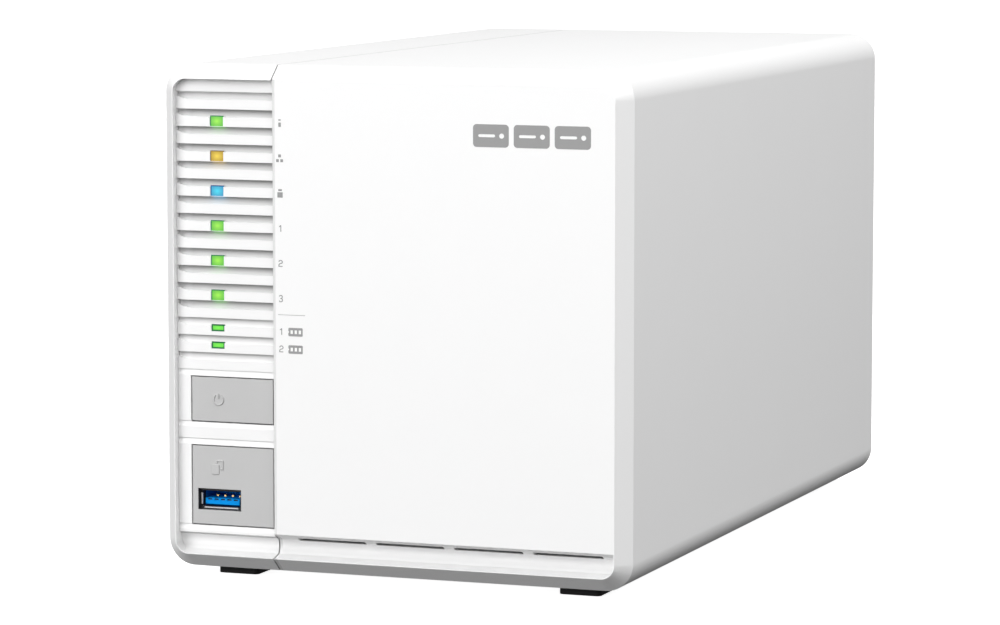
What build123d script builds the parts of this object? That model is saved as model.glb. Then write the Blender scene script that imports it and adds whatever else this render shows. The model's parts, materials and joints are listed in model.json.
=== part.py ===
from build123d import *
import os

# Three-bay network storage box.  Millimetres, +Z up.  The origin is on the surface that the feet
# stand on, under the middle of the case.  The front faces -Y; the indicator side is -X.

# ------------------------------------------------------------------ driving dimensions
BODY_W = 146.4            # case, along X
BODY_D = 261.0            # case, along Y
BODY_H = 150.0            # case, along Z, without the feet
FOOT_H = 3.2
CORNER_R = 8.3            # long edges of the case
CHAMFER_IN = 4.1          # front chamfer, measured across the front
CHAMFER_DEEP = 5.0        # front chamfer, measured along Y
WALL = 2.4
FRONT_WALL = 2.6
SEAM_X = -37.2            # where the left shell meets the slide-off cover
SEAM_GAP = 0.4
RIM_LAND = 0.25           # flat edge between the chamfer and the recess in the front
TONGUE_REACH = 4.0        # ledge of the left shell behind the cover's edge
TONGUE_GAP = 0.3
TONGUE_T = 1.2
RIB_Y = (-90.0, 0.0, 90.0)           # ribs of the left shell that carry the cage

X_LEFT = -BODY_W / 2
X_RIGHT = BODY_W / 2
Y_FRONT = -BODY_D / 2
Y_REAR = BODY_D / 2
Z_LOW = FOOT_H
Z_TOP = FOOT_H + BODY_H
Z_MID = (Z_LOW + Z_TOP) / 2

# ------------------------------------------------------------------ front recess: louvre, buttons
LOUVRE_DEEP = 2.3         # louvre face behind the front face
LOUVRE_T = 3.6
LOUVRE_Y = Y_FRONT + LOUVRE_DEEP
LOUVRE_BACK = LOUVRE_Y + LOUVRE_T
LOUVRE_RIGHT = SEAM_X - 0.5
SLAT_PITCH = 5.155
SLAT_GAP = 2.3
SLAT_TOP_Z = Z_LOW + 141.9           # lower edge of the top slat
DEEP_GAPS = range(13)                # gaps between the slats, counted from the top
SHALLOW_GAPS = range(13, 16)
DEEP_SCOOP = (1.9, 1.1)              # depth at the top and at the bottom of a gap
SHALLOW_SCOOP = (1.2, 0.6)
CREASES = (16, 19, 20, 25)           # faint steps that carry the slats' rhythm on past the buttons
CREASE_DEEP = 0.4
CREASE_H = 1.7
SCOOP_END_L = 5.0                    # the gaps close in a curve at their left ends
SCOOP_END_RISE = 1.0
FRAME_GAP = 0.1

GROOVE_TOP_FRONT = Z_LOW + 11.55     # finger groove along the bottom of the front
GROOVE_TOP_BACK = Z_LOW + 9.75
GROOVE_LIP_BACK = Z_LOW + 5.2
GROOVE_LIP_FRONT = Z_LOW + CHAMFER_IN
GROOVE_DEEP = 3.9
GROOVE_BELLY = 4.6
AIR_SLOT_L = 21.4
AIR_SLOT_PITCH = 24.6
AIR_SLOT_FIRST_X = -19.9
AIR_SLOT_COUNT = 4
AIR_SLOT_LOW = Z_LOW + 9.45
AIR_SLOT_HIGH = Z_LOW + 10.35

WINDOW_X = -55.8
WINDOW_W = 4.3
WINDOW_H = 3.15
SMALL_WINDOW_H = 2.1
WINDOW_LIFT = 0.4         # every window's top edge above its slat's top edge
WINDOW_SUNK = 0.35
WINDOW_ROWS = {"status": 2, "network": 4, "usb": 6, "disk_1": 8, "disk_2": 10, "disk_3": 12}
SMALL_WINDOW_ROWS = {"stick_1": 14, "stick_2": 15}

BUTTON_LEFT = -64.3
BUTTON_RIGHT = SEAM_X - 0.9
BUTTON_GAP = 0.35
POWER_LOW = SLAT_TOP_Z - 19 * SLAT_PITCH
POWER_HIGH = SLAT_TOP_Z - 16 * SLAT_PITCH - SLAT_GAP
COPY_LOW = SLAT_TOP_Z - 25 * SLAT_PITCH
COPY_HIGH = SLAT_TOP_Z - 20 * SLAT_PITCH - SLAT_GAP

USB_W = 13.2
USB_H = 5.7
USB_DEEP = 14.0
USB_SHELL_T = 0.4
USB_NOTCH = 1.1           # the shell's lips stop short of its corners
USB_X = -55.6
USB_Z = Z_LOW + 20.55
USB_SET_BACK = 1.3
USB_TONGUE_T = 1.85

LED_BOARD_Y = -117.0
BOARD_T = 1.6
POST_X = -65.5            # posts behind the louvre that carry the board
POST_Z = (Z_LOW + 62, Z_LOW + 98, Z_LOW + 134)
LED_SIZE = 1.6
LED_T = 0.9

# ------------------------------------------------------------------ drive cage
SHEET = 1.0
BAY_LEFT = -36.6          # inside of the cage walls
BAY_RIGHT = 69.0
BAY_MID = (BAY_LEFT + BAY_RIGHT) / 2
CAGE_FRONT = -118.0
CAGE_REAR = 98.0
CAGE_FLOOR = Z_LOW + 7.0
CAGE_TOP = CAGE_FLOOR + 132.8
BAY_PITCH = 42.5
BAY_Z = tuple(CAGE_FLOOR + 4.8 + bay * BAY_PITCH for bay in range(3))    # underside of each tray
SHELF_W = 5.0
STOP_W = 1.6              # tab behind a tray's rail
SLIDE_GAP = 0.2

TRAY_W = BAY_RIGHT - BAY_LEFT - 0.8
TRAY_RAIL_T = 1.5
TRAY_FLOOR_T = 2.0
TRAY_H = 38.0
TRAY_RAIL_H = 24.0
TRAY_FRONT_T = 4.0
TRAY_BACK = 45.0

DRIVE_W = 101.6
DRIVE_L = 147.0
DRIVE_H = 26.1
DRIVE_BACK = 48.0

LEVER_PIVOT_X = 60.0
LEVER_PIVOT_Y = -121.4
LEVER_BOSS_R = 3.0
LEVER_L = 84.0
LEVER_T = 3.6
LEVER_LOW = 12.0          # above the tray's underside
LEVER_HIGH = 26.0
LUG_T = 3.0
PIN_R = 1.5
PIN_FIT = 0.05            # radial clearance of a turning fit

BACKPLANE_Y = 58.0

# ------------------------------------------------------------------ rear panel, fan and ports
REAR_SET_BACK = 6.0
PANEL_T = 1.2
PANEL_OUT = Y_REAR - REAR_SET_BACK
PANEL_IN = PANEL_OUT - PANEL_T
PANEL_GAP = 0.4

FAN_SIZE = 92.0
FAN_T = 25.0
FAN_X = BAY_MID
FAN_Z = Z_MID
FAN_HOLE_PITCH = 82.5
FAN_BORE_R = 44.5
ROTOR_R = 43.0
HUB_R = 17.0
BLADES = 7
GRILLE_RINGS = (15.0, 22.0, 29.0, 36.0)
GRILLE_SLOT = 4.6
SPOKE_W = 3.0

MAIN_BOARD_X = -40.0      # face that the cage side carries
BOARD_Y0 = -100.0
BOARD_Z0 = 14.0
BOARD_Z1 = 138.0
CHIP_X = MAIN_BOARD_X - BOARD_T      # component side, parts stand towards -X
MEMORY_Y = -53.0
MEMORY_Z = 20.0
MEMORY_L = 67.6
STICK_Z = (66.0, 96.0)
STICK_W = 22.0
STICK_L = 80.0
STICK_Y = -10.0           # where the sticks meet their sockets
SCREW_R = 1.4
SCREW_HEAD_R = 2.75
SCREW_HEAD_H = 1.8

THUMB_X = (-8.0, 58.0)
THUMB_Z = Z_TOP - WALL - 4.7
THUMB_HEAD_R = 4.2

FOOT_W = 12.9
FOOT_L = 12.5
FOOT_X = 54.2
FOOT_Y = (Y_FRONT + 18.7, Y_FRONT + 230.5)


# ------------------------------------------------------------------ building blocks
def box(x0, x1, y0, y1, z0, z1):
    """A box between two corners."""
    return Pos((x0 + x1) / 2, (y0 + y1) / 2, (z0 + z1) / 2) * Box(x1 - x0, y1 - y0, z1 - z0)


def rod_y(x, z, radius, y0, y1):
    """A round bar along Y."""
    return Pos(x, (y0 + y1) / 2, z) * Rot(90, 0, 0) * Cylinder(radius, y1 - y0)


def rod_x(y, z, radius, x0, x1):
    """A round bar along X."""
    return Pos((x0 + x1) / 2, y, z) * Rot(0, 90, 0) * Cylinder(radius, x1 - x0)


def rod_z(x, y, radius, z0, z1):
    """A round bar along Z."""
    return Pos(x, y, (z0 + z1) / 2) * Cylinder(radius, z1 - z0)


def bar_face(w, h, radius, y, x=0.0, z=Z_MID):
    """A rounded rectangle facing +Y, its centre at x, y, z."""
    plane = Plane(origin=(x, y, z), x_dir=(1, 0, 0), z_dir=(0, 1, 0))
    return plane * RectangleRounded(w, h, radius)


def round_bar(w, h, radius, y0, y1, x=0.0, z=Z_MID):
    """A bar along Y with a rounded rectangular section."""
    return extrude(bar_face(w, h, radius, y0, x, z), y1 - y0)


def case_form(inset, y_front, y_rear):
    """The case's outer form drawn in by inset, with its chamfered nose."""
    w = BODY_W - 2 * inset
    h = BODY_H - 2 * inset
    radius = CORNER_R - inset
    full = bar_face(w, h, radius, y_front + CHAMFER_DEEP)
    nose = bar_face(w - 2 * CHAMFER_IN, h - 2 * CHAMFER_IN, radius - CHAMFER_IN, y_front)
    return loft([nose, full], ruled=True) + extrude(full, y_rear - y_front - CHAMFER_DEEP)


def rim_bar(y0, y1, gap=0.0):
    """A bar with the outline of the front recess, inside the chamfer and its land."""
    inset = CHAMFER_IN + RIM_LAND + gap
    return round_bar(BODY_W - 2 * inset, BODY_H - 2 * inset, CORNER_R - inset, y0, y1)


def groove_cutter():
    """The finger groove: a bevel under the front panel, a concave back and a sloping lip."""
    ahead = 1.0
    bevel = (GROOVE_TOP_FRONT - GROOVE_TOP_BACK) / GROOVE_DEEP
    slope = (GROOVE_LIP_BACK - GROOVE_LIP_FRONT) / GROOVE_DEEP
    low_front = (Y_FRONT - ahead, GROOVE_LIP_FRONT - ahead * slope)
    low_back = (Y_FRONT + GROOVE_DEEP, GROOVE_LIP_BACK)
    belly = (Y_FRONT + GROOVE_BELLY, (GROOVE_LIP_BACK + GROOVE_TOP_BACK) / 2)
    top_back = (Y_FRONT + GROOVE_DEEP, GROOVE_TOP_BACK)
    top_front = (Y_FRONT - ahead, GROOVE_TOP_FRONT + ahead * bevel)
    outline = Polyline(top_back, top_front, low_front, low_back) + ThreePointArc(low_back, belly, top_back)
    plane = Plane(origin=(X_LEFT, 0, 0), x_dir=(0, 1, 0), z_dir=(1, 0, 0))
    return extrude(plane * make_face(outline), BODY_W) & rim_bar(Y_FRONT - 2, Y_FRONT + 10)


def hollow_case():
    """The whole case as one skin, with a thicker back behind the finger groove."""
    skin = case_form(0, Y_FRONT, Y_REAR) - case_form(WALL, Y_FRONT + FRONT_WALL, Y_REAR + 5)
    backing = box(X_LEFT + 1, X_RIGHT - 1, Y_FRONT + 2, Y_FRONT + 6.8, Z_LOW + 1, Z_LOW + 14)
    return skin + (backing & case_form(0.5, Y_FRONT + 0.5, Y_REAR)) - groove_cutter()


# ------------------------------------------------------------------ case
def left_shell():
    """Left wall with the strips of roof and floor beside it, open where the louvre sits."""
    side = hollow_case() & box(X_LEFT - 1, SEAM_X - SEAM_GAP / 2, Y_FRONT - 1, Y_REAR + 1, 0, Z_TOP + 1)
    mouth = rim_bar(Y_FRONT - 1, Y_FRONT + 12) & box(X_LEFT, 0, Y_FRONT - 2, Y_FRONT + 20, GROOVE_TOP_BACK, Z_TOP)
    shell = side - mouth
    for wall_z, toward in ((Z_TOP - WALL, -1), (Z_LOW + WALL, 1)):
        shell += seam_tongue(wall_z, toward)
    for z in (Z_LOW + 16, Z_TOP - 20):
        shell += box(X_LEFT + WALL - 0.2, X_LEFT + WALL + 8, PANEL_IN - 4, PANEL_IN, z, z + 4)
    for y in RIB_Y:
        shell += box(SEAM_X - 4.6, SEAM_X + TONGUE_REACH - 0.6, y - 4, y + 4,
                     Z_LOW + WALL + TONGUE_GAP + TONGUE_T - 0.1, CAGE_FLOOR)
    return shell


def seam_tongue(wall_z, toward):
    """Ledge along the seam that reaches behind the cover's edge."""
    root = 5.5
    y0 = Y_FRONT + 12
    y1 = PANEL_IN
    face = wall_z + toward * TONGUE_GAP
    back = face + toward * TONGUE_T
    ledge = box(SEAM_X - root, SEAM_X + TONGUE_REACH, y0, y1, min(face, back), max(face, back))
    foot_face = wall_z - toward * 0.2
    foot = box(SEAM_X - root, SEAM_X - 0.6, y0, y1, min(face, foot_face), max(face, foot_face))
    return ledge + foot


def slide_cover():
    """Front panel, roof, right wall and floor in one moulding, which slides off forwards."""
    cover = hollow_case() & box(SEAM_X + SEAM_GAP / 2, X_RIGHT + 1, Y_FRONT - 1, Y_REAR + 1, 0, Z_TOP + 1)
    for index in range(AIR_SLOT_COUNT):
        x = AIR_SLOT_FIRST_X + index * AIR_SLOT_PITCH
        cover -= box(x - AIR_SLOT_L / 2, x + AIR_SLOT_L / 2, Y_FRONT + 2.6, Y_FRONT + 8,
                     AIR_SLOT_LOW, AIR_SLOT_HIGH)
    for x in THUMB_X:
        boss = box(x - 5, x + 5, PANEL_IN - 12, PANEL_IN - 0.3, CAGE_TOP + 0.7, Z_TOP - WALL + 0.1)
        cover += boss - rod_y(x, THUMB_Z, PIN_R + 0.25, PANEL_IN - 13, PANEL_IN)
    return cover


def feet(side):
    """Two rubber feet under one half of the case."""
    pads = [round_pad(side * FOOT_X, y) for y in FOOT_Y]
    return Compound(children=pads)


def round_pad(x, y):
    """One rubber foot with rounded corners."""
    plane = Plane(origin=(x, y, 0), z_dir=(0, 0, 1))
    return extrude(plane * RectangleRounded(FOOT_W, FOOT_L, 1.5), FOOT_H)


# ------------------------------------------------------------------ indicator strip
def scoop(row, deep, step):
    """The gap under one slat: an undercut top, a hollow back and a step out to the next slat."""
    top = SLAT_TOP_Z - row * SLAT_PITCH
    low = top - SLAT_GAP
    front = LOUVRE_Y - 0.5
    back_top = (LOUVRE_Y + deep, top)
    back_low = (LOUVRE_Y + step, low)
    hollow = (LOUVRE_Y + (deep + step) / 2 + 0.15, (top + low) / 2)
    outline = Polyline(back_low, (front, low), (front, top), back_top) + ThreePointArc(back_top, hollow, back_low)
    return run_across(outline) & scoop_front(top, low)


def run_across(outline):
    """An outline in Y and Z, run across the indicator strip."""
    plane = Plane(origin=(X_LEFT, 0, 0), x_dir=(0, 1, 0), z_dir=(1, 0, 0))
    return extrude(plane * make_face(outline), SEAM_X - X_LEFT)


def scoop_front(top, low):
    """A gap's outline from the front, with its lower edge curving up at the left end."""
    left = X_LEFT + CHAMFER_IN + RIM_LAND
    bend = (left + SCOOP_END_L, low)
    middle = (left + SCOOP_END_L / 2, low + SCOOP_END_RISE / 4)
    end = (left, low + SCOOP_END_RISE)
    outline = Polyline(end, (left, top), (SEAM_X, top), (SEAM_X, low), bend) + ThreePointArc(bend, middle, end)
    plane = Plane(origin=(0, LOUVRE_BACK, 0), x_dir=(1, 0, 0), z_dir=(0, -1, 0))
    return extrude(plane * make_face(outline), LOUVRE_T + 1)


def crease(row):
    """A shallow step in the plate at one slat's height."""
    top = SLAT_TOP_Z - row * SLAT_PITCH
    front = LOUVRE_Y - 0.5
    return run_across(Polyline((front, top), (LOUVRE_Y + CREASE_DEEP, top), (LOUVRE_Y, top - CREASE_H),
                               (front, top - CREASE_H), close=True))


def window_span(row, height):
    """Lower and upper height of an indicator window on a slat."""
    high = SLAT_TOP_Z - (row - 1) * SLAT_PITCH - SLAT_GAP + WINDOW_LIFT
    return high - height, high


def indicator_windows():
    """Name, row and height of each indicator window."""
    large = [(name, row, WINDOW_H) for name, row in WINDOW_ROWS.items()]
    small = [(name, row, SMALL_WINDOW_H) for name, row in SMALL_WINDOW_ROWS.items()]
    return large + small


def louvre_frame():
    """The slatted plate of the indicator strip, open for windows and buttons."""
    plate = rim_bar(LOUVRE_Y, LOUVRE_BACK, FRAME_GAP)
    plate &= box(X_LEFT, LOUVRE_RIGHT, LOUVRE_Y - 1, LOUVRE_BACK + 1, GROOVE_TOP_BACK + FRAME_GAP, Z_TOP)
    for row in DEEP_GAPS:
        plate -= scoop(row, *DEEP_SCOOP)
    for row in SHALLOW_GAPS:
        plate -= scoop(row, *SHALLOW_SCOOP)
    for row in CREASES:
        plate -= crease(row)
    plate -= groove_cutter()
    for low, high in ((POWER_LOW, POWER_HIGH), (COPY_LOW, COPY_HIGH)):
        plate -= box(BUTTON_LEFT - BUTTON_GAP, SEAM_X, LOUVRE_Y - 1, LOUVRE_BACK + 1,
                     low - BUTTON_GAP, high + BUTTON_GAP)
    for _, row, height in indicator_windows():
        plate -= light_pipe(row, height, LOUVRE_Y - 1)
    for z in POST_Z:
        plate += rod_y(POST_X, z, 1.8, LOUVRE_BACK - 0.5, LED_BOARD_Y)
    return plate


def light_pipe(row, height, y_front=LOUVRE_Y + WINDOW_SUNK):
    """Clear block that brings one indicator's light to the slat face."""
    low, high = window_span(row, height)
    half = WINDOW_W / 2
    return box(WINDOW_X - half, WINDOW_X + half, y_front, LED_BOARD_Y - LED_T - 0.4, low, high)


def button(low, high):
    """A flat push plate with a retaining flange and a plunger behind it."""
    face = box(BUTTON_LEFT, BUTTON_RIGHT, LOUVRE_Y, LOUVRE_BACK + 1.2, low, high)
    flange = box(BUTTON_LEFT - 1.2, BUTTON_RIGHT, LOUVRE_BACK + 0.2, LOUVRE_BACK + 1.2, low - 1.2, high + 1.2)
    plunger = rod_y(-45.0, (low + high) / 2, 2.0, LOUVRE_BACK + 1.2, LED_BOARD_Y - 5.0)
    return face + flange + plunger


def power_button():
    """Push plate of the power switch."""
    return button(POWER_LOW, POWER_HIGH)


def copy_button():
    """Push plate of the copy switch, with a window for the front USB socket."""
    clear = 0.3
    window = box(USB_X - USB_W / 2 - clear, USB_X + USB_W / 2 + clear, LOUVRE_Y - 1, LOUVRE_BACK + 3,
                 USB_Z - USB_H / 2 - clear, USB_Z + USB_H / 2 + clear)
    return button(COPY_LOW, COPY_HIGH) - window


def front_usb_shell():
    """Folded steel shell of the front USB socket, its mouth ending in four lips."""
    y0 = LOUVRE_Y + USB_SET_BACK
    outer = round_bar(USB_W, USB_H, 0.6, y0, y0 + USB_DEEP, USB_X, USB_Z)
    inner = round_bar(USB_W - 2 * USB_SHELL_T, USB_H - 2 * USB_SHELL_T, 0.4, y0 - 1,
                      y0 + USB_DEEP - USB_SHELL_T, USB_X, USB_Z)
    shell = outer - inner
    for side_x in (-1, 1):
        for side_z in (-1, 1):
            x = USB_X + side_x * USB_W / 2
            z = USB_Z + side_z * USB_H / 2
            shell -= box(x - USB_NOTCH, x + USB_NOTCH, y0 - 1, y0 + 0.6, z - USB_NOTCH, z + USB_NOTCH)
    return shell


def front_usb_tongue():
    """Blue insulator of the front USB socket: a tongue low in the mouth and its back block."""
    y0 = LOUVRE_Y + USB_SET_BACK
    back = y0 + USB_DEEP - USB_SHELL_T
    half_w = USB_W / 2 - USB_SHELL_T
    half_h = USB_H / 2 - USB_SHELL_T
    block = round_bar(2 * half_w, 2 * half_h, 0.4, back - 3.0, back, USB_X, USB_Z)
    top = USB_Z + 0.1
    return block + box(USB_X - half_w + 0.7, USB_X + half_w - 0.7, y0 + 0.9, back - 3.0, top - USB_TONGUE_T, top)


def led_board():
    """Narrow circuit board behind the louvre."""
    board = box(-68.0, -40.0, LED_BOARD_Y, LED_BOARD_Y + BOARD_T, Z_LOW + 12, Z_LOW + 138)
    clear = 0.4
    hole = box(USB_X - USB_W / 2 - clear, USB_X + USB_W / 2 + clear, LED_BOARD_Y - 1, LED_BOARD_Y + 3,
               USB_Z - USB_H / 2 - clear, USB_Z + USB_H / 2 + clear)
    return board - hole


def front_leds():
    """Surface-mounted light sources, one behind each window."""
    chips = []
    half = LED_SIZE / 2
    for _, row, height in indicator_windows():
        z = sum(window_span(row, height)) / 2
        chips.append(box(WINDOW_X - half, WINDOW_X + half, LED_BOARD_Y - LED_T, LED_BOARD_Y, z - half, z + half))
    return Compound(children=chips)


def front_switches():
    """Tactile switches behind the two buttons."""
    switches = []
    for low, high in ((POWER_LOW, POWER_HIGH), (COPY_LOW, COPY_HIGH)):
        z = (low + high) / 2
        body = box(-48.0, -42.0, LED_BOARD_Y - 3.4, LED_BOARD_Y, z - 3, z + 3)
        switches.append(body + rod_y(-45.0, z, 1.7, LED_BOARD_Y - 4.0, LED_BOARD_Y - 3.4))
    return Compound(children=switches)


# ------------------------------------------------------------------ drive cage
def cage_floor():
    """Bottom sheet of the cage, reaching back to the rear panel."""
    sheet = box(BAY_LEFT - SHEET, BAY_RIGHT + SHEET, CAGE_FRONT, PANEL_IN, CAGE_FLOOR, CAGE_FLOOR + SHEET)
    for row in range(6):
        y = CAGE_FRONT + 30 + row * 28
        sheet -= box(BAY_LEFT + 12, BAY_RIGHT - 12, y, y + 12, CAGE_FLOOR - 1, CAGE_FLOOR + 2)
    return sheet


def cage_roof():
    """Top sheet of the cage."""
    sheet = box(BAY_LEFT - SHEET, BAY_RIGHT + SHEET, CAGE_FRONT, CAGE_REAR, CAGE_TOP - SHEET, CAGE_TOP)
    for row in range(5):
        y = CAGE_FRONT + 30 + row * 28
        sheet -= box(BAY_LEFT + 12, BAY_RIGHT - 12, y, y + 12, CAGE_TOP - 3, CAGE_TOP + 1)
    return sheet


def cage_wall(outside, inside):
    """Side sheet of the cage with a folded shelf under each tray."""
    low = CAGE_FLOOR + SHEET
    wall = box(min(outside, inside), max(outside, inside), CAGE_FRONT, CAGE_REAR, low, CAGE_TOP - SHEET)
    toward = 1 if inside > outside else -1
    tip = inside + toward * SHELF_W
    for z in BAY_Z:
        top = z - SLIDE_GAP
        wall += box(min(inside, tip), max(inside, tip), CAGE_FRONT + 2, TRAY_BACK + 2, top - SHEET, top)
        stop = inside + toward * STOP_W
        wall += box(min(inside, stop), max(inside, stop), TRAY_BACK + 1, TRAY_BACK + 2, top, z + 8)
    return wall


def cage_left_wall():
    """Cage side next to the main board."""
    return cage_wall(BAY_LEFT - SHEET, BAY_LEFT)


def cage_right_wall():
    """Cage side next to the cover."""
    return cage_wall(BAY_RIGHT + SHEET, BAY_RIGHT)


def tray(z):
    """Drive tray: slotted floor, two rails, vented front and two lever lugs."""
    x0 = BAY_MID - TRAY_W / 2
    x1 = BAY_MID + TRAY_W / 2
    body = box(x0, x1, CAGE_FRONT + TRAY_FRONT_T, TRAY_BACK, z, z + TRAY_FLOOR_T)
    for slot in range(4):
        y = CAGE_FRONT + 24 + slot * 34
        body -= box(x0 + 14, x1 - 14, y, y + 22, z - 1, z + TRAY_FLOOR_T + 1)
    for rail in (x0, x1 - TRAY_RAIL_T):
        body += box(rail, rail + TRAY_RAIL_T, CAGE_FRONT + TRAY_FRONT_T, TRAY_BACK, z, z + TRAY_RAIL_H)
    body += box(x0, x1, CAGE_FRONT, CAGE_FRONT + TRAY_FRONT_T, z, z + TRAY_H)
    for column in range(11):
        x = x0 + 9 + column * 8.6
        for low, high in ((4.0, 9.5), (28.5, 34.0)):
            body -= box(x - 2.6, x + 2.6, CAGE_FRONT - 1, CAGE_FRONT + TRAY_FRONT_T + 1, z + low, z + high)
    for low in (LEVER_LOW - LUG_T - SLIDE_GAP, LEVER_HIGH + SLIDE_GAP):
        body += lever_lug(z + low)
    return body


def lever_lug(z):
    """Ear on the tray's front that holds one end of the lever pin."""
    ear = box(LEVER_PIVOT_X - LEVER_BOSS_R, LEVER_PIVOT_X + LEVER_BOSS_R, LEVER_PIVOT_Y, CAGE_FRONT + 0.5,
              z, z + LUG_T)
    ear += rod_z(LEVER_PIVOT_X, LEVER_PIVOT_Y, LEVER_BOSS_R, z, z + LUG_T)
    return ear - rod_z(LEVER_PIVOT_X, LEVER_PIVOT_Y, PIN_R, z - 1, z + LUG_T + 1)


def tray_lever(z):
    """Swing-out handle that draws a tray from the cage."""
    low = z + LEVER_LOW
    high = z + LEVER_HIGH
    x1 = LEVER_PIVOT_X
    x0 = x1 - LEVER_L
    arm = box(x0 + LEVER_T, x1, LEVER_PIVOT_Y - LEVER_T / 2, LEVER_PIVOT_Y + LEVER_T / 2, low, high)
    arm += rod_z(x0 + LEVER_T, LEVER_PIVOT_Y, LEVER_T / 2, low, high)
    arm += rod_z(x1, LEVER_PIVOT_Y, LEVER_BOSS_R, low, high)
    arm -= box(x0 + 8, x0 + 30, LEVER_PIVOT_Y - 3, LEVER_PIVOT_Y + 3, low + 3.5, high - 3.5)
    return arm - rod_z(x1, LEVER_PIVOT_Y, PIN_R + PIN_FIT, low - 1, high + 1)


def lever_pin(z):
    """Steel pin held in the tray's two lugs."""
    ends = LUG_T + SLIDE_GAP
    return rod_z(LEVER_PIVOT_X, LEVER_PIVOT_Y, PIN_R, z + LEVER_LOW - ends, z + LEVER_HIGH + ends)


def drive(z):
    """Hard drive lying on the tray, with a stepped lid."""
    z0 = z + TRAY_FLOOR_T
    x0 = BAY_MID - DRIVE_W / 2
    x1 = BAY_MID + DRIVE_W / 2
    y0 = DRIVE_BACK - DRIVE_L
    body = box(x0, x1, y0, DRIVE_BACK, z0, z0 + DRIVE_H)
    body -= box(x0 - 1, x0 + 4, y0 - 1, DRIVE_BACK + 1, z0 + DRIVE_H - 4, z0 + DRIVE_H + 1)
    body -= box(x1 - 4, x1 + 1, y0 - 1, DRIVE_BACK + 1, z0 + DRIVE_H - 4, z0 + DRIVE_H + 1)
    return body


def backplane():
    """Upright circuit board that the drives plug into."""
    board = box(BAY_LEFT, BAY_RIGHT, BACKPLANE_Y, BACKPLANE_Y + BOARD_T, CAGE_FLOOR + SHEET, CAGE_TOP - SHEET)
    for z in BAY_Z:
        board -= box(BAY_LEFT + 10, BAY_RIGHT - 10, BACKPLANE_Y - 1, BACKPLANE_Y + 3, z + 17, z + 33)
    return board


def drive_sockets():
    """Data and power sockets on the backplane, one for each bay."""
    sockets = []
    for z in BAY_Z:
        z0 = z + TRAY_FLOOR_T + 2
        sockets.append(box(BAY_MID + 2, BAY_MID + 42, DRIVE_BACK + 0.6, BACKPLANE_Y, z0, z0 + 6))
    return Compound(children=sockets)


# ------------------------------------------------------------------ main board
def board_hole_spots():
    """Where the main board is screwed to the cage side."""
    return [(y, z) for y in (BOARD_Y0 + 6, 92.0) for z in (BOARD_Z0 + 6, BOARD_Z1 - 6)]


def main_board():
    """Main circuit board, standing upright beside the cage."""
    board = box(CHIP_X, MAIN_BOARD_X, BOARD_Y0, PANEL_IN - 1, BOARD_Z0, BOARD_Z1)
    for y, z in board_hole_spots():
        board -= rod_x(y, z, SCREW_R + 0.2, CHIP_X - 1, MAIN_BOARD_X + 1)
    return board


def standoffs():
    """Threaded spacers between the cage side and the main board."""
    spacers = []
    for y, z in board_hole_spots():
        spacer = rod_x(y, z, 3.0, MAIN_BOARD_X, BAY_LEFT - SHEET)
        spacers.append(spacer - rod_x(y, z, SCREW_R + 0.05, MAIN_BOARD_X - 1, BAY_LEFT - SHEET - 0.4))
    return Compound(children=spacers)


def board_screws():
    """Screws that hold the main board to its spacers."""
    screws = []
    for y, z in board_hole_spots():
        head = rod_x(y, z, SCREW_HEAD_R, CHIP_X - SCREW_HEAD_H, CHIP_X)
        screws.append(head + rod_x(y, z, SCREW_R, CHIP_X, MAIN_BOARD_X + 1.8))
    return Compound(children=screws)


def processor():
    """Processor package under the heat sink."""
    return box(CHIP_X - 1.4, CHIP_X, 26, 54, 78, 106)


def heat_sink():
    """Finned aluminium block on the processor."""
    base_x = CHIP_X - 1.4
    sink = box(base_x - 3, base_x, 8, 72, 62, 122)
    for index in range(12):
        z = 62 + index * 5.27
        sink += box(base_x - 16, base_x - 3, 8, 72, z, z + 1.9)
    return sink


def memory_sockets():
    """Two stacked sockets for memory modules."""
    y0 = MEMORY_Y - MEMORY_L / 2 - 2
    y1 = MEMORY_Y + MEMORY_L / 2 + 2
    block = box(CHIP_X - 10, CHIP_X, y0, y1, MEMORY_Z, MEMORY_Z + 7)
    return block - box(CHIP_X - 11, CHIP_X - 1, y0 + 2, y1 - 2, MEMORY_Z + 4, MEMORY_Z + 8)


def memory_modules():
    """Two memory modules lying over each other in their sockets."""
    modules = []
    for lift in (3.0, 7.4):
        x1 = CHIP_X - lift
        modules.append(box(x1 - 1.2, x1, MEMORY_Y - MEMORY_L / 2, MEMORY_Y + MEMORY_L / 2,
                           MEMORY_Z + 4, MEMORY_Z + 34))
    return Compound(children=modules)


def stick_sockets():
    """Edge sockets for the two solid-state sticks."""
    sockets = [box(CHIP_X - 4.2, CHIP_X, STICK_Y, STICK_Y + 8, z, z + STICK_W) for z in STICK_Z]
    return Compound(children=sockets)


def solid_state_sticks():
    """Two solid-state storage sticks beside each other."""
    sticks = []
    y0 = STICK_Y - STICK_L
    for z in STICK_Z:
        card = box(CHIP_X - 3.4, CHIP_X - 2.6, y0, STICK_Y, z, z + STICK_W)
        for step in (4, 24, 48):
            card += box(CHIP_X - 4.6, CHIP_X - 3.4, y0 + step, y0 + step + 15, z + 3.5, z + STICK_W - 3.5)
        sticks.append(card + rod_x(y0 + 2, z + STICK_W / 2, 1.5, CHIP_X - 2.6, CHIP_X))
    return Compound(children=sticks)


def coin_cell():
    """Clock battery in the shape of a coin."""
    return rod_x(40, 34, 10.0, CHIP_X - 4.2, CHIP_X - 1.0)


def cell_holder():
    """Ring that clips the clock battery to the board."""
    ring = rod_x(40, 34, 11.6, CHIP_X - 4.2, CHIP_X)
    return ring - rod_x(40, 34, 10.0, CHIP_X - 5, CHIP_X - 1.0)


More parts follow.
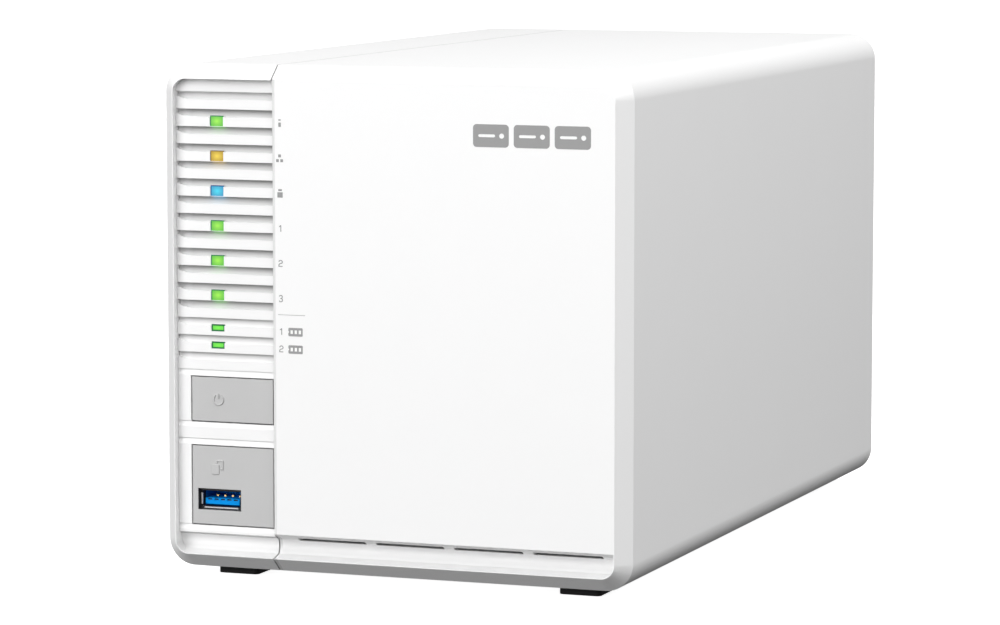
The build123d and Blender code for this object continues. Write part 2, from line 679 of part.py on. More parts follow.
# ------------------------------------------------------------------ rear panel and ports
LAN_Z = (56.0, 72.0)
LAN_X = (CHIP_X - 13.5, CHIP_X)
REAR_USB_Z = (80.0, 94.4)
REAR_USB_X = (CHIP_X - 15.6, CHIP_X)
HDMI_Z = (102.0, 117.0)
HDMI_X = (CHIP_X - 6.4, CHIP_X)
JACK_Z = (34.0, 45.0)
JACK_X = (CHIP_X - 11.0, CHIP_X)
PORT_FRONT = 103.0
RESET_X = -50.0
RESET_Z = 24.5
RESET_R = 1.4


def rear_panel():
    """Recessed metal back with the fan grille and the port openings."""
    gap = WALL + PANEL_GAP
    panel = round_bar(BODY_W - 2 * gap, BODY_H - 2 * gap, CORNER_R - gap, PANEL_IN, PANEL_OUT)
    for radius in GRILLE_RINGS:
        panel -= grille_ring(radius)
    clear = 0.3
    for xs, zs in ((LAN_X, LAN_Z), (REAR_USB_X, REAR_USB_Z), (HDMI_X, HDMI_Z), (JACK_X, JACK_Z)):
        panel -= box(xs[0] - clear, xs[1] + clear, PANEL_IN - 1, PANEL_OUT + 1, zs[0] - clear, zs[1] + clear)
    panel -= rod_y(RESET_X, RESET_Z, RESET_R + 0.3, PANEL_IN - 1, PANEL_OUT + 1)
    panel -= round_bar(3.2, 7.2, 1.5, PANEL_IN - 1, PANEL_OUT + 1, -62.0, 132.0)
    for x in THUMB_X:
        panel -= rod_y(x, THUMB_Z, PIN_R + 0.1, PANEL_IN - 1, PANEL_OUT + 1)
    for x, z in fan_corners():
        panel -= rod_y(x, z, 2.2, PANEL_IN - 1, PANEL_OUT + 1)
    return panel


def grille_ring(radius):
    """One ring of the grille, crossed by four spokes."""
    half = GRILLE_SLOT / 2
    ring = rod_y(FAN_X, FAN_Z, radius + half, PANEL_IN - 1, PANEL_OUT + 1)
    ring -= rod_y(FAN_X, FAN_Z, radius - half, PANEL_IN - 2, PANEL_OUT + 2)
    for angle in (45, 135):
        spoke = Pos(FAN_X, PANEL_IN, FAN_Z) * Rot(0, angle, 0) * Box(120, 8, SPOKE_W)
        ring -= spoke
    return ring


def fan_corners():
    """The fan's four screw places."""
    half = FAN_HOLE_PITCH / 2
    return [(FAN_X + sx * half, FAN_Z + sz * half) for sx in (-1, 1) for sz in (-1, 1)]


def fan_frame():
    """Square fan housing with a round duct, a motor seat and four struts."""
    y0 = PANEL_IN - FAN_T
    frame = round_bar(FAN_SIZE, FAN_SIZE, 4.0, y0, PANEL_IN, FAN_X, FAN_Z)
    frame -= rod_y(FAN_X, FAN_Z, FAN_BORE_R, y0 - 1, PANEL_IN + 1)
    seat = rod_y(FAN_X, FAN_Z, HUB_R, PANEL_IN - 4, PANEL_IN)
    for angle in (0, 90):
        seat += Pos(FAN_X, PANEL_IN - 2, FAN_Z) * Rot(0, angle, 0) * Box(2 * FAN_BORE_R + 1, 3.0, 5.0)
    frame += seat
    frame -= rod_y(FAN_X, FAN_Z, PIN_R + PIN_FIT, PANEL_IN - 5, PANEL_IN - 1)
    for x, z in fan_corners():
        frame -= rod_y(x, z, 2.0, y0 - 1, PANEL_IN + 1)
    return frame


def fan_rotor():
    """Hub, seven pitched blades and the shaft that turns in the motor seat."""
    y0 = PANEL_IN - FAN_T + 3
    y1 = PANEL_IN - 6
    rotor = rod_y(FAN_X, FAN_Z, HUB_R, y0, y1)
    rotor += rod_y(FAN_X, FAN_Z, PIN_R, y1 - 1, PANEL_IN - 1.5)
    for index in range(BLADES):
        blade = Pos((HUB_R + ROTOR_R) / 2 - 1, 0, 0) * Rot(42, 0, 0) * Box(ROTOR_R - HUB_R + 4, 1.4, 20)
        rotor += Pos(FAN_X, (y0 + y1) / 2, FAN_Z) * Rot(0, index * 360 / BLADES, 0) * blade
    limit = rod_y(FAN_X, FAN_Z, ROTOR_R, y0 - 1, PANEL_IN)
    return rotor & limit


def fan_screws():
    """Four screws through the rear panel into the fan."""
    screws = []
    for x, z in fan_corners():
        head = rod_y(x, z, 3.6, PANEL_OUT, PANEL_OUT + 1.8)
        screws.append(head + rod_y(x, z, 1.9, PANEL_IN - 10, PANEL_OUT))
    return Compound(children=screws)


def thumb_screws():
    """Two hand-turned screws that lock the cover."""
    screws = []
    for x in THUMB_X:
        head = rod_y(x, THUMB_Z, THUMB_HEAD_R, PANEL_OUT, PANEL_OUT + 5)
        screws.append(head + rod_y(x, THUMB_Z, PIN_R, PANEL_IN - 10, PANEL_OUT))
    return Compound(children=screws)


def lan_port():
    """Network socket: a shielded box with a stepped mouth."""
    x0, x1 = LAN_X
    z0, z1 = LAN_Z
    can = box(x0, x1, PORT_FRONT, PANEL_OUT, z0, z1)
    x_mid = (x0 + x1) / 2
    z_mid = (z0 + z1) / 2
    can -= box(x_mid - 4.2, x_mid + 4.2, PANEL_OUT - 14, PANEL_OUT + 1, z_mid - 6, z_mid + 6)
    return can - box(x_mid - 6.2, x_mid - 4.2, PANEL_OUT - 14, PANEL_OUT + 1, z_mid - 2, z_mid + 2)


def rear_usb_ports():
    """Two USB sockets stacked in one can."""
    x0, x1 = REAR_USB_X
    z0, z1 = REAR_USB_Z
    can = box(x0, x1, PORT_FRONT + 4, PANEL_OUT, z0, z1)
    z_mid = (z0 + z1) / 2
    for x in (x0 + 4.0, x1 - 4.0):
        can -= box(x - 2.6, x + 2.6, PANEL_OUT - 12, PANEL_OUT + 1, z_mid - 6.3, z_mid + 6.3)
        can += box(x - 1.2, x + 0.7, PANEL_OUT - 12, PANEL_OUT - 0.6, z_mid - 5.6, z_mid + 5.6)
    return can


def hdmi_port():
    """Display socket with a centre tongue."""
    x0, x1 = HDMI_X
    z0, z1 = HDMI_Z
    can = box(x0, x1, PORT_FRONT + 8, PANEL_OUT, z0, z1)
    can -= box(x0 + 0.5, x1 - 1.4, PANEL_OUT - 10, PANEL_OUT + 1, z0 + 0.5, z1 - 0.5)
    mid = (x0 + x1) / 2
    return can + box(mid - 0.9, mid + 0.4, PANEL_OUT - 10, PANEL_OUT - 0.8, z0 + 2, z1 - 2)


def power_jack():
    """Round low-voltage inlet with its centre pin."""
    x0, x1 = JACK_X
    z0, z1 = JACK_Z
    x_mid = (x0 + x1) / 2
    z_mid = (z0 + z1) / 2
    block = box(x0, x1, PORT_FRONT + 8, PANEL_OUT, z0, z1)
    block -= rod_y(x_mid, z_mid, 3.3, PANEL_OUT - 10, PANEL_OUT + 1)
    return block + rod_y(x_mid, z_mid, 1.0, PANEL_OUT - 10.5, PANEL_OUT - 1)


def reset_button():
    """Small plunger in the rear panel, pressed with a pin."""
    stem = rod_y(RESET_X, RESET_Z, RESET_R, PANEL_IN - 2, PANEL_OUT - 0.2)
    return stem + rod_y(RESET_X, RESET_Z, RESET_R + 1.0, PANEL_IN - 3.5, PANEL_IN - 1.0)


# ------------------------------------------------------------------ write one file per node
def all_nodes():
    """Every sub-part by name."""
    nodes = {
        "left_shell": left_shell(),
        "slide_cover": slide_cover(),
        "feet_left": feet(-1),
        "feet_right": feet(1),
        "louvre_frame": louvre_frame(),
        "power_button": power_button(),
        "copy_button": copy_button(),
        "front_usb_shell": front_usb_shell(),
        "front_usb_tongue": front_usb_tongue(),
        "led_board": led_board(),
        "front_leds": front_leds(),
        "front_switches": front_switches(),
        "cage_floor": cage_floor(),
        "cage_roof": cage_roof(),
        "cage_left_wall": cage_left_wall(),
        "cage_right_wall": cage_right_wall(),
        "backplane": backplane(),
        "drive_sockets": drive_sockets(),
        "main_board": main_board(),
        "standoffs": standoffs(),
        "board_screws": board_screws(),
        "processor": processor(),
        "heat_sink": heat_sink(),
        "memory_sockets": memory_sockets(),
        "memory_modules": memory_modules(),
        "stick_sockets": stick_sockets(),
        "solid_state_sticks": solid_state_sticks(),
        "coin_cell": coin_cell(),
        "cell_holder": cell_holder(),
        "rear_panel": rear_panel(),
        "fan_frame": fan_frame(),
        "fan_rotor": fan_rotor(),
        "fan_screws": fan_screws(),
        "thumb_screws": thumb_screws(),
        "lan_port": lan_port(),
        "rear_usb_ports": rear_usb_ports(),
        "hdmi_port": hdmi_port(),
        "power_jack": power_jack(),
        "reset_button": reset_button(),
    }
    for name, row, height in indicator_windows():
        nodes["window_" + name] = light_pipe(row, height)
    for number, z in enumerate(BAY_Z, start=1):
        nodes[f"tray_{number}"] = tray(z)
        nodes[f"tray_lever_{number}"] = tray_lever(z)
        nodes[f"lever_pin_{number}"] = lever_pin(z)
        nodes[f"drive_{number}"] = drive(z)
    return nodes


os.makedirs("parts", exist_ok=True)
for node_name, solid in all_nodes().items():
    export_step(solid, os.path.join("parts", node_name + ".step"))
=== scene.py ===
import bmesh
import bpy
import json
import math
from mathutils import Matrix, Vector


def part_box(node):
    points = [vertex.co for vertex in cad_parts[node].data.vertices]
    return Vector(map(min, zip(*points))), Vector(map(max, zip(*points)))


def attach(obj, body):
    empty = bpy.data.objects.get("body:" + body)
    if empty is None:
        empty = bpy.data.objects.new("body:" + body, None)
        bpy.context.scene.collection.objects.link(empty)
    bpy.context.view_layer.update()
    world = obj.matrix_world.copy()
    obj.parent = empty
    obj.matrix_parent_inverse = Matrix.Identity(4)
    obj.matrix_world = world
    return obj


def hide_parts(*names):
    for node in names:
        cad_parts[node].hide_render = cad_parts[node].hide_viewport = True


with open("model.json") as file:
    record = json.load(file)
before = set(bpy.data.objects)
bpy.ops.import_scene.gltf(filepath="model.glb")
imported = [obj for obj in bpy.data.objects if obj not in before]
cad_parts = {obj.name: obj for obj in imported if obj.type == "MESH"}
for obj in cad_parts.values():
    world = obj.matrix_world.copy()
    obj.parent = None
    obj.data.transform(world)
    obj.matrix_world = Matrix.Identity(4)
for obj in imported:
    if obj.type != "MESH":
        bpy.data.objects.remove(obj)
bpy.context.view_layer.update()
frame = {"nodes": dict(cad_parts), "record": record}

# Network storage box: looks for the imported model.  Metres, in the frame of the CAD model:
# front -Y, indicator side -X, +Z up, feet on Z = 0.  Forms are drawn in millimetres.
MM = 0.001
NODES = frame["nodes"]
BAYS = (1, 2, 3)
BODY_OF = {node: body for body, nodes in frame["record"]["behaviour"]["bodies"].items() for node in nodes}
SLOT_OF = {part["node"]: part["material_slot"] for part in frame["record"]["subparts"]}


def span(node):
    """A CAD node's box in millimetres: x0, x1, y0, y1, z0, z1."""
    low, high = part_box(node)
    return tuple(side[axis] / MM for axis in range(3) for side in (low, high))


def middle(node):
    """Centre of a CAD node's box in millimetres."""
    x0, x1, y0, y1, z0, z1 = span(node)
    return (x0 + x1) / 2, (y0 + y1) / 2, (z0 + z1) / 2


COVER_EDGE_X, _, FRONT_Y, REAR_Y, CASE_LOW, CASE_TOP = span("slide_cover")
BUTTON_Y = span("power_button")[2]
PANEL_Y = span("rear_panel")[3]
CHIP_X = span("main_board")[0]


# -------- camera, light, floor
CAMERA_AT = (0.46395, -1.28749, 0.21842)
CAMERA_TURN = 20.378  # degrees, towards -X from straight along +Y
CAMERA_DIP = 6.243  # degrees below level
CAMERA_LENS = 155.17
SKY_STRENGTH = 1.16
SKY = ((0.0, 0.15), (0.25, 0.0), (0.5, 0.29), (0.75, 0.0), (1.0, 1.0))  # height from nadir to zenith, grey
LAMPS = (("left_box", (-1.4, -2.0, 0.9), 1.6, 42.0),
         ("high_box", (0.0, -1.5, 1.9), 1.6, 12.8),
         ("front_box", (0.0, -2.4, 0.55), 1.6, 3.75),
         ("top_box", (0.95, 0.1, 1.0), 0.8, 8.9),
         ("right_box", (0.68, -0.84, 0.66), 0.7, 3.8))
LAMP_AIM = (0.0, 0.0, 0.07)
FLOOR_HALF = 12.0
FLOOR_GLOW = 0.9


def put(name, data, at=(0, 0, 0), turn=(0, 0, 0)):
    """A new object in the scene."""
    thing = bpy.data.objects.new(name, data)
    thing.location = at
    thing.rotation_euler = turn
    bpy.context.scene.collection.objects.link(thing)
    return thing


def add_camera():
    """Long lens from the front right, a little above the case."""
    data = bpy.data.cameras.new("camera")
    data.lens = CAMERA_LENS
    data.sensor_width = 36.0
    data.clip_end = 100.0
    turn = (math.radians(90 - CAMERA_DIP), 0, math.radians(CAMERA_TURN))
    bpy.context.scene.camera = put("camera", data, CAMERA_AT, turn)


def add_light(name, at, size, power):
    """Square soft box aimed at the case."""
    data = bpy.data.lights.new(name, "AREA")
    data.shape = "SQUARE"
    data.size = size
    data.energy = power
    direction = Vector(LAMP_AIM) - Vector(at)
    put(name, data, at, direction.to_track_quat("-Z", "Y").to_euler())


def add_world():
    """White surroundings, brightest overhead, even all the way round."""
    world = bpy.data.worlds.new("studio")
    world.use_nodes = True
    tree = world.node_tree
    height = map_range(tree, axes(tree, "Generated")["Z"], 0.0, 1.0, -1.0, 1.0)
    ramp = wired(tree, "ValToRGB", {"Fac": height})
    stops = ramp.color_ramp.elements
    while len(stops) < len(SKY):
        stops.new(0.5)
    for stop, (at, grey) in zip(stops, SKY):
        stop.position = at
        stop.color = (grey, grey, grey, 1)
    feed(tree, tree.nodes["Background"], {"Color": ramp.outputs["Color"], "Strength": SKY_STRENGTH})
    bpy.context.scene.world = world


def add_floor():
    """Wide pale floor at the feet."""
    mesh = bpy.data.meshes.new("floor")
    corners = [(u, v, 0) for u, v in rectangle(-FLOOR_HALF, FLOOR_HALF, -FLOOR_HALF, FLOOR_HALF)]
    mesh.from_pydata(corners, [], [(0, 1, 2, 3)])
    floor = put("floor", mesh)
    floor.visible_diffuse = False
    floor.visible_glossy = False
    floor.visible_shadow = False
    plastic("floor_paper", (0.93, 0.93, 0.93), rough=0.9, grain=400, relief=0.0)
    mesh.materials.append(MATERIALS["floor_paper"])
    tree = MATERIALS["floor_paper"].node_tree
    feed(tree, tree.nodes["Principled BSDF"],
         {"Emission Color": (1, 1, 1, 1), "Emission Strength": FLOOR_GLOW})


def add_studio():
    """Camera, world, lamps and floor."""
    add_camera()
    add_world()
    add_floor()
    for lamp in LAMPS:
        add_light(*lamp)
    bpy.context.scene.view_settings.view_transform = "Standard"


# -------- materials
MATERIALS = {}


def new_material(name):
    """A principled material, kept under its name: its tree and its shader."""
    material = bpy.data.materials.new(name)
    material.use_nodes = True
    MATERIALS[name] = material
    return material.node_tree, material.node_tree.nodes["Principled BSDF"]


def feed(tree, node, inputs):
    """Set a node's inputs, each to a value or from another node's socket."""
    for key, value in inputs.items():
        if isinstance(value, bpy.types.NodeSocket):
            tree.links.new(value, node.inputs[key])
        else:
            node.inputs[key].default_value = value


def wired(tree, kind, inputs, **settings):
    """A new node with its settings and inputs."""
    node = tree.nodes.new("ShaderNode" + kind)
    for name, value in settings.items():
        setattr(node, name, value)
    feed(tree, node, inputs)
    return node


def place_on(tree, kind):
    """The place on the object: in its own metres, or from 0 to 1 across it when generated."""
    return wired(tree, "TexCoord", {}).outputs[kind]


def axes(tree, kind="Object"):
    """The place on the object, axis by axis."""
    return wired(tree, "SeparateXYZ", {0: place_on(tree, kind)}).outputs


def noise(tree, scale, detail=2.0, stretch=None):
    """Noise over the object, drawn out along an axis if asked for."""
    place = place_on(tree, "Object")
    if stretch:
        place = wired(tree, "Mapping", {"Vector": place, "Scale": stretch}).outputs["Vector"]
    return wired(tree, "TexNoise", {"Vector": place, "Scale": scale, "Detail": detail}).outputs["Fac"]


def map_range(tree, value, low, high, from_low=0.0, from_high=1.0):
    """Value moved from one span to another."""
    return wired(tree, "MapRange", {"Value": value, "From Min": from_low, "From Max": from_high,
                                    "To Min": low, "To Max": high}).outputs["Result"]


def colour_mix(tree, factor, colour_a, colour_b):
    """Colour between a and b; each is a tuple or a socket."""
    first, second = ((*c, 1) if isinstance(c, tuple) else c for c in (colour_a, colour_b))
    return wired(tree, "Mix", {"Factor": factor, 6: first, 7: second}, data_type="RGBA").outputs[2]


def bump(tree, height, distance):
    """Relief of a given height in metres."""
    return wired(tree, "Bump", {"Distance": distance, "Height": height}).outputs["Normal"]


def computed(tree, operation, *values):
    """One or two values put through a sum."""
    return wired(tree, "Math", dict(enumerate(values)), operation=operation).outputs[0]


def product(tree, first, *others):
    """Values multiplied."""
    for other in others:
        first = computed(tree, "MULTIPLY", first, other)
    return first


def fade(tree, value, base, marks, first=1.0, last=0.0):
    """From first to last between two marks, given in millimetres from a base."""
    return map_range(tree, value, first, last, *((base + mark) * MM for mark in marks))


def painted_shade_mix(tree, where, tone, colour, share):
    """Painted shade: a tone that gives way to a share of the full colour."""
    return colour_mix(tree, where, tone, tuple(share * c for c in colour))


# Painted shade on the white plastics: where it falls, and the share of the colour left where it is full.
GROOVE_FADE, GROOVE_SHARE = (10.5, 12.0), 0.77  # heights above the case's foot
SEAM_LEFT, SEAM_RIGHT, SEAM_SHARE = (-0.50, -0.44), (0.04, 0.10), 0.68  # from the cover's edge
STRIP_FADE, STRIP_SHARE = (0.75, 0.95), 0.80  # from the cover's edge
FACING_FADE = 0.3  # how far a surface leans before it counts
GAP_DEEP, GAP_SHARE = (0.1, 1.9), 0.46  # behind the slats' faces
GAP_LEFT, GAP_LEFT_LEAST = (0.0, 4.5), 0.3  # the lighter left ends
GAP_TOP, GAP_TOP_LEAST = (-6.3, -4.0), 0.35  # from the top of the slatted plate


def case_painted_shade(tree, tone, colour):
    """Painted shade: darker on the floor of the groove, inside the seam and on the cover's edge beside it."""
    place = axes(tree)
    facing = wired(tree, "SeparateXYZ", {0: wired(tree, "NewGeometry", {}).outputs["Normal"]}).outputs
    # Painted shade on the groove's floor, where it turns upwards.
    low = fade(tree, place["Z"], CASE_LOW, GROOVE_FADE)
    upward = map_range(tree, facing["Z"], 0.0, 1.0, 0.0, FACING_FADE)
    tone = painted_shade_mix(tree, product(tree, low, upward), tone, colour, GROOVE_SHARE)
    # Painted shade on a narrow strip of the cover's front beside its edge.
    forward = map_range(tree, facing["Y"], 1.0, 0.0, -FACING_FADE, 0.0)
    left = fade(tree, place["X"], COVER_EDGE_X, SEAM_LEFT, 0.0, 1.0)
    right = fade(tree, place["X"], COVER_EDGE_X, SEAM_RIGHT)
    strip = fade(tree, place["X"], COVER_EDGE_X, STRIP_FADE)
    tone = painted_shade_mix(tree, product(tree, forward, left, strip), tone, colour, STRIP_SHARE)
    # Painted shade inside the seam.
    return painted_shade_mix(tree, product(tree, left, right), tone, colour, SEAM_SHARE)


def louvre_painted_shade(tree, tone, colour):
    """Painted shade: the gaps between the slats darken backwards, less so at their left ends and at the top.
    """
    place = axes(tree)
    left, _, front, _, _, top = span("louvre_frame")
    depth = fade(tree, place["Y"], front, GAP_DEEP, 0.0, 1.0)
    inwards = fade(tree, place["X"], left, GAP_LEFT, GAP_LEFT_LEAST, 1.0)
    lower = fade(tree, place["Z"], top, GAP_TOP, 1.0, GAP_TOP_LEAST)
    return painted_shade_mix(tree, product(tree, depth, inwards, lower), tone, colour, GAP_SHARE)


def plastic(name, colour, rough=0.45, grain=2200.0, relief=0.00001, vary=0.03, specular=0.4, shade=None):
    """Moulded plastic: fine spark-eroded grain, faint tone and gloss changes, painted shade in hollows if
    asked for.
    """
    tree, shader = new_material(name)
    tone = colour_mix(tree, noise(tree, 60.0, 3.0), tuple(c * (1 - vary) for c in colour), colour)
    if shade:
        tone = shade(tree, tone, colour)
    fine = noise(tree, grain)
    gloss = map_range(tree, fine, rough - 0.05, rough + 0.05)
    feed(tree, shader, {"Specular IOR Level": specular, "Base Color": tone, "Roughness": gloss})
    if relief:
        feed(tree, shader, {"Normal": bump(tree, fine, relief)})


def metal(name, colour, rough=0.3, stretch=(1.0, 1.0, 1.0), grain=900.0):
    """Rolled or turned metal: streaks along one axis, varied gloss."""
    tree, shader = new_material(name)
    streak = noise(tree, grain, 3.0, stretch)
    tone = colour_mix(tree, streak, tuple(c * 0.86 for c in colour), colour)
    gloss = map_range(tree, streak, rough - 0.08, rough + 0.1)
    feed(tree, shader, {"Metallic": 1.0, "Base Color": tone, "Roughness": gloss,
                        "Normal": bump(tree, streak, 0.000004)})


WINDOW_WIDE = 4.3
WINDOW_HIGH, SMALL_WINDOW_HIGH = 3.3, 2.1
WINDOW_RIM, SMALL_WINDOW_RIM = 0.32, 0.5
WINDOW_GLOW = 0.85
RIB_GLOW = 2.2  # the part of a light pipe that hangs under the slat
RIB_SHARE = (0.040, 0.046)  # of the piece's height, from where it hangs to where the lens starts


def lit_window(name, centre, edge, border, height=WINDOW_HIGH, rim=WINDOW_RIM, framed=False):
    """Lit indicator: bright middle, duller edge and a dark rim; unframed, the rim is painted shade of the
    recess walls at the left and top, framed it runs all round.
    """
    tree, shader = new_material(name)
    place = axes(tree, "Generated")
    offsets = (map_range(tree, place["X"], 1.0, -1.0), map_range(tree, place["Z"], -1.0, 1.0))
    both = wired(tree, "CombineXYZ", dict(enumerate(offsets))).outputs[0]
    length = wired(tree, "VectorMath", {0: both}, operation="LENGTH").outputs["Value"]
    rims = []
    for offset, size in zip(offsets, (WINDOW_WIDE, height)):
        if framed:
            offset = computed(tree, "ABSOLUTE", offset)
        rims.append(map_range(tree, offset, 0.0, 1.0, 1 - 2.2 * rim / size, 1 - 1.4 * rim / size))
    glow = colour_mix(tree, map_range(tree, length, 0.0, 1.0, 0.1, 1.0), centre, edge)
    # The dark rim at the left and top of an unframed window is painted shade of its recess walls.
    lit = colour_mix(tree, computed(tree, "MAXIMUM", *rims), glow, border)
    strength = WINDOW_GLOW if framed else map_range(tree, place["Z"], RIB_GLOW, WINDOW_GLOW, *RIB_SHARE)
    feed(tree, shader, {"Base Color": (*(0.05 * c for c in edge), 1), "Roughness": 0.25,
                        "Emission Color": lit, "Emission Strength": strength})


def circuit_board(name):
    """Green solder resist with faint copper tracks under it."""
    tree, shader = new_material(name)
    cells = wired(tree, "TexVoronoi", {"Vector": place_on(tree, "Object"), "Scale": 260.0},
                  distance="MANHATTAN", feature="F1")
    track = map_range(tree, cells.outputs["Distance"], 0.0, 1.0, 0.35, 0.5)
    tone = colour_mix(tree, track, (0.012, 0.10, 0.05), (0.02, 0.19, 0.09))
    feed(tree, shader, {"Base Color": tone, "Roughness": 0.35, "Normal": bump(tree, track, 0.00002)})


def make_materials():
    """Every finish; most names are the record's slots."""
    # Both white plastics carry painted shade: the case in its groove and seam, the slatted plate in its gaps.
    for name, shade in (("case_white", case_painted_shade), ("louvre_white_painted_shade", louvre_painted_shade)):
        plastic(name, (0.93, 0.93, 0.93), rough=0.42, relief=0.000006, vary=0.012, shade=shade)
    plastic("button_grey", (0.56, 0.56, 0.56), rough=0.5, grain=3600, relief=0.00003, vary=0.06)
    plastic("foot_rubber", (0.012, 0.012, 0.012), rough=0.75, grain=1500, relief=0.00004)
    plastic("print_grey", (0.33, 0.33, 0.33), rough=0.6, relief=0.0)
    # Each window's third colour is its dark rim, painted shade at the left and top of the unframed ones.
    lit_window("window_green", (0.40, 0.96, 0.10), (0.155, 0.64, 0.08), (0.02, 0.20, 0.09))
    lit_window("window_amber", (1.0, 0.75, 0.09), (0.60, 0.38, 0.04), (0.20, 0.14, 0.06))
    lit_window("window_blue", (0.08, 0.79, 1.0), (0.06, 0.40, 0.68), (0.02, 0.09, 0.28))
    lit_window("window_small", (0.24, 1.0, 0.10), (0.14, 0.80, 0.08), (0.01, 0.13, 0.05),
               SMALL_WINDOW_HIGH, SMALL_WINDOW_RIM, framed=True)
    metal("usb_steel", (0.86, 0.86, 0.88), rough=0.36, stretch=(1, 0.1, 1))
    plastic("usb_blue", (0.0, 0.31, 0.86), rough=0.5, relief=0.0, vary=0.06, specular=0.08)
    metal("gold", (0.62, 0.41, 0.17), rough=0.36)
    circuit_board("board_green")
    plastic("chip_black", (0.02, 0.02, 0.022), rough=0.55)
    plastic("light_chip", (0.85, 0.83, 0.65), rough=0.2)
    metal("cage_steel", (0.62, 0.63, 0.64), rough=0.38, stretch=(1, 0.08, 1))
    plastic("tray_black", (0.03, 0.03, 0.033), rough=0.5, relief=0.00003)
    plastic("lever_grey", (0.16, 0.17, 0.19), rough=0.45, relief=0.00002)
    metal("pin_steel", (0.65, 0.65, 0.66), rough=0.25)
    metal("drive_metal", (0.60, 0.61, 0.62), rough=0.42, grain=500)
    metal("sink_metal", (0.72, 0.73, 0.75), rough=0.35, stretch=(1, 0.1, 1))
    plastic("socket_plastic", (0.03, 0.03, 0.033), rough=0.4)
    metal("cell_steel", (0.75, 0.75, 0.74), rough=0.18)
    plastic("panel_metal", (0.60, 0.60, 0.61), rough=0.5, grain=1400, relief=0.00003)
    plastic("fan_plastic", (0.018, 0.018, 0.02), rough=0.4)
    metal("screw_steel", (0.55, 0.55, 0.56), rough=0.28)
    metal("port_metal", (0.66, 0.66, 0.67), rough=0.3, stretch=(1, 0.1, 1))
    plastic("label_paper", (0.80, 0.80, 0.78), rough=0.6, relief=0.0, vary=0.02)


# -------- outlines on a face
def rectangle(u0, u1, v0, v1):
    """Corners of a rectangle, anticlockwise."""
    return [(u0, v0), (u1, v0), (u1, v1), (u0, v1)]


def arc(u, v, radius, start, stop, steps):
    """Points along an arc, angles in degrees."""
    angles = [math.radians(start + (stop - start) * i / steps) for i in range(steps + 1)]
    return [(u + radius * math.cos(a), v + radius * math.sin(a)) for a in angles]


def rounded(u0, u1, v0, v1, radius, steps=4):
    """A rectangle with round corners, anticlockwise."""
    corners = ((u0 + radius, v0 + radius, 180), (u1 - radius, v0 + radius, 270),
               (u1 - radius, v1 - radius, 0), (u0 + radius, v1 - radius, 90))
    return [point for u, v, start in corners for point in arc(u, v, radius, start, start + 90, steps)]


def disc(u, v, radius, steps):
    """A circle, anticlockwise."""
    return arc(u, v, radius, 0, 360, steps)[:-1]


def lean(before, here, after, least):
    """Which way, and how far, a corner moves for its sides to move left by one."""
    first, second = (here - before).normalized(), (after - here).normalized()
    return Vector((-first.y - second.y, first.x + second.x)) / max(1 + first.dot(second), least)


def drawn_in(outline, depth):
    """A closed anticlockwise outline moved inwards."""
    points = [Vector(p) for p in outline]
    corners = zip(points[-1:] + points[:-1], points, points[1:] + points[:1])
    return [tuple(here + lean(before, here, after, 0.3) * depth) for before, here, after in corners]


def stroke(points, width):
    """Outline of an open line with a pen width."""
    points = [Vector(p) for p in points]
    points = [2 * points[0] - points[1], *points, 2 * points[-1] - points[-2]]
    sides = ([], [])
    for before, here, after in zip(points, points[1:], points[2:]):
        away = lean(before, here, after, 0.5)
        sides[0].append(tuple(here - away * width / 2))
        sides[1].append(tuple(here + away * width / 2))
    return sides[0] + sides[1][::-1]


def spaced(start, stop, count):
    """Even places from start to stop."""
    return [start + index * (stop - start) / (count - 1) for index in range(count)]


def centred(count, pitch):
    """Places at a pitch, even about zero."""
    return [(index - (count - 1) / 2) * pitch for index in range(count)]


# -------- solid forms
FACES = {  # across and up, as seen from outside
    "front": ((1, 0, 0), (0, 0, 1)),
    "rear": ((-1, 0, 0), (0, 0, 1)),
    "left": ((0, -1, 0), (0, 0, 1)),
    "top": ((1, 0, 0), (0, 1, 0)),
    "under": ((1, 0, 0), (0, -1, 0)),
}


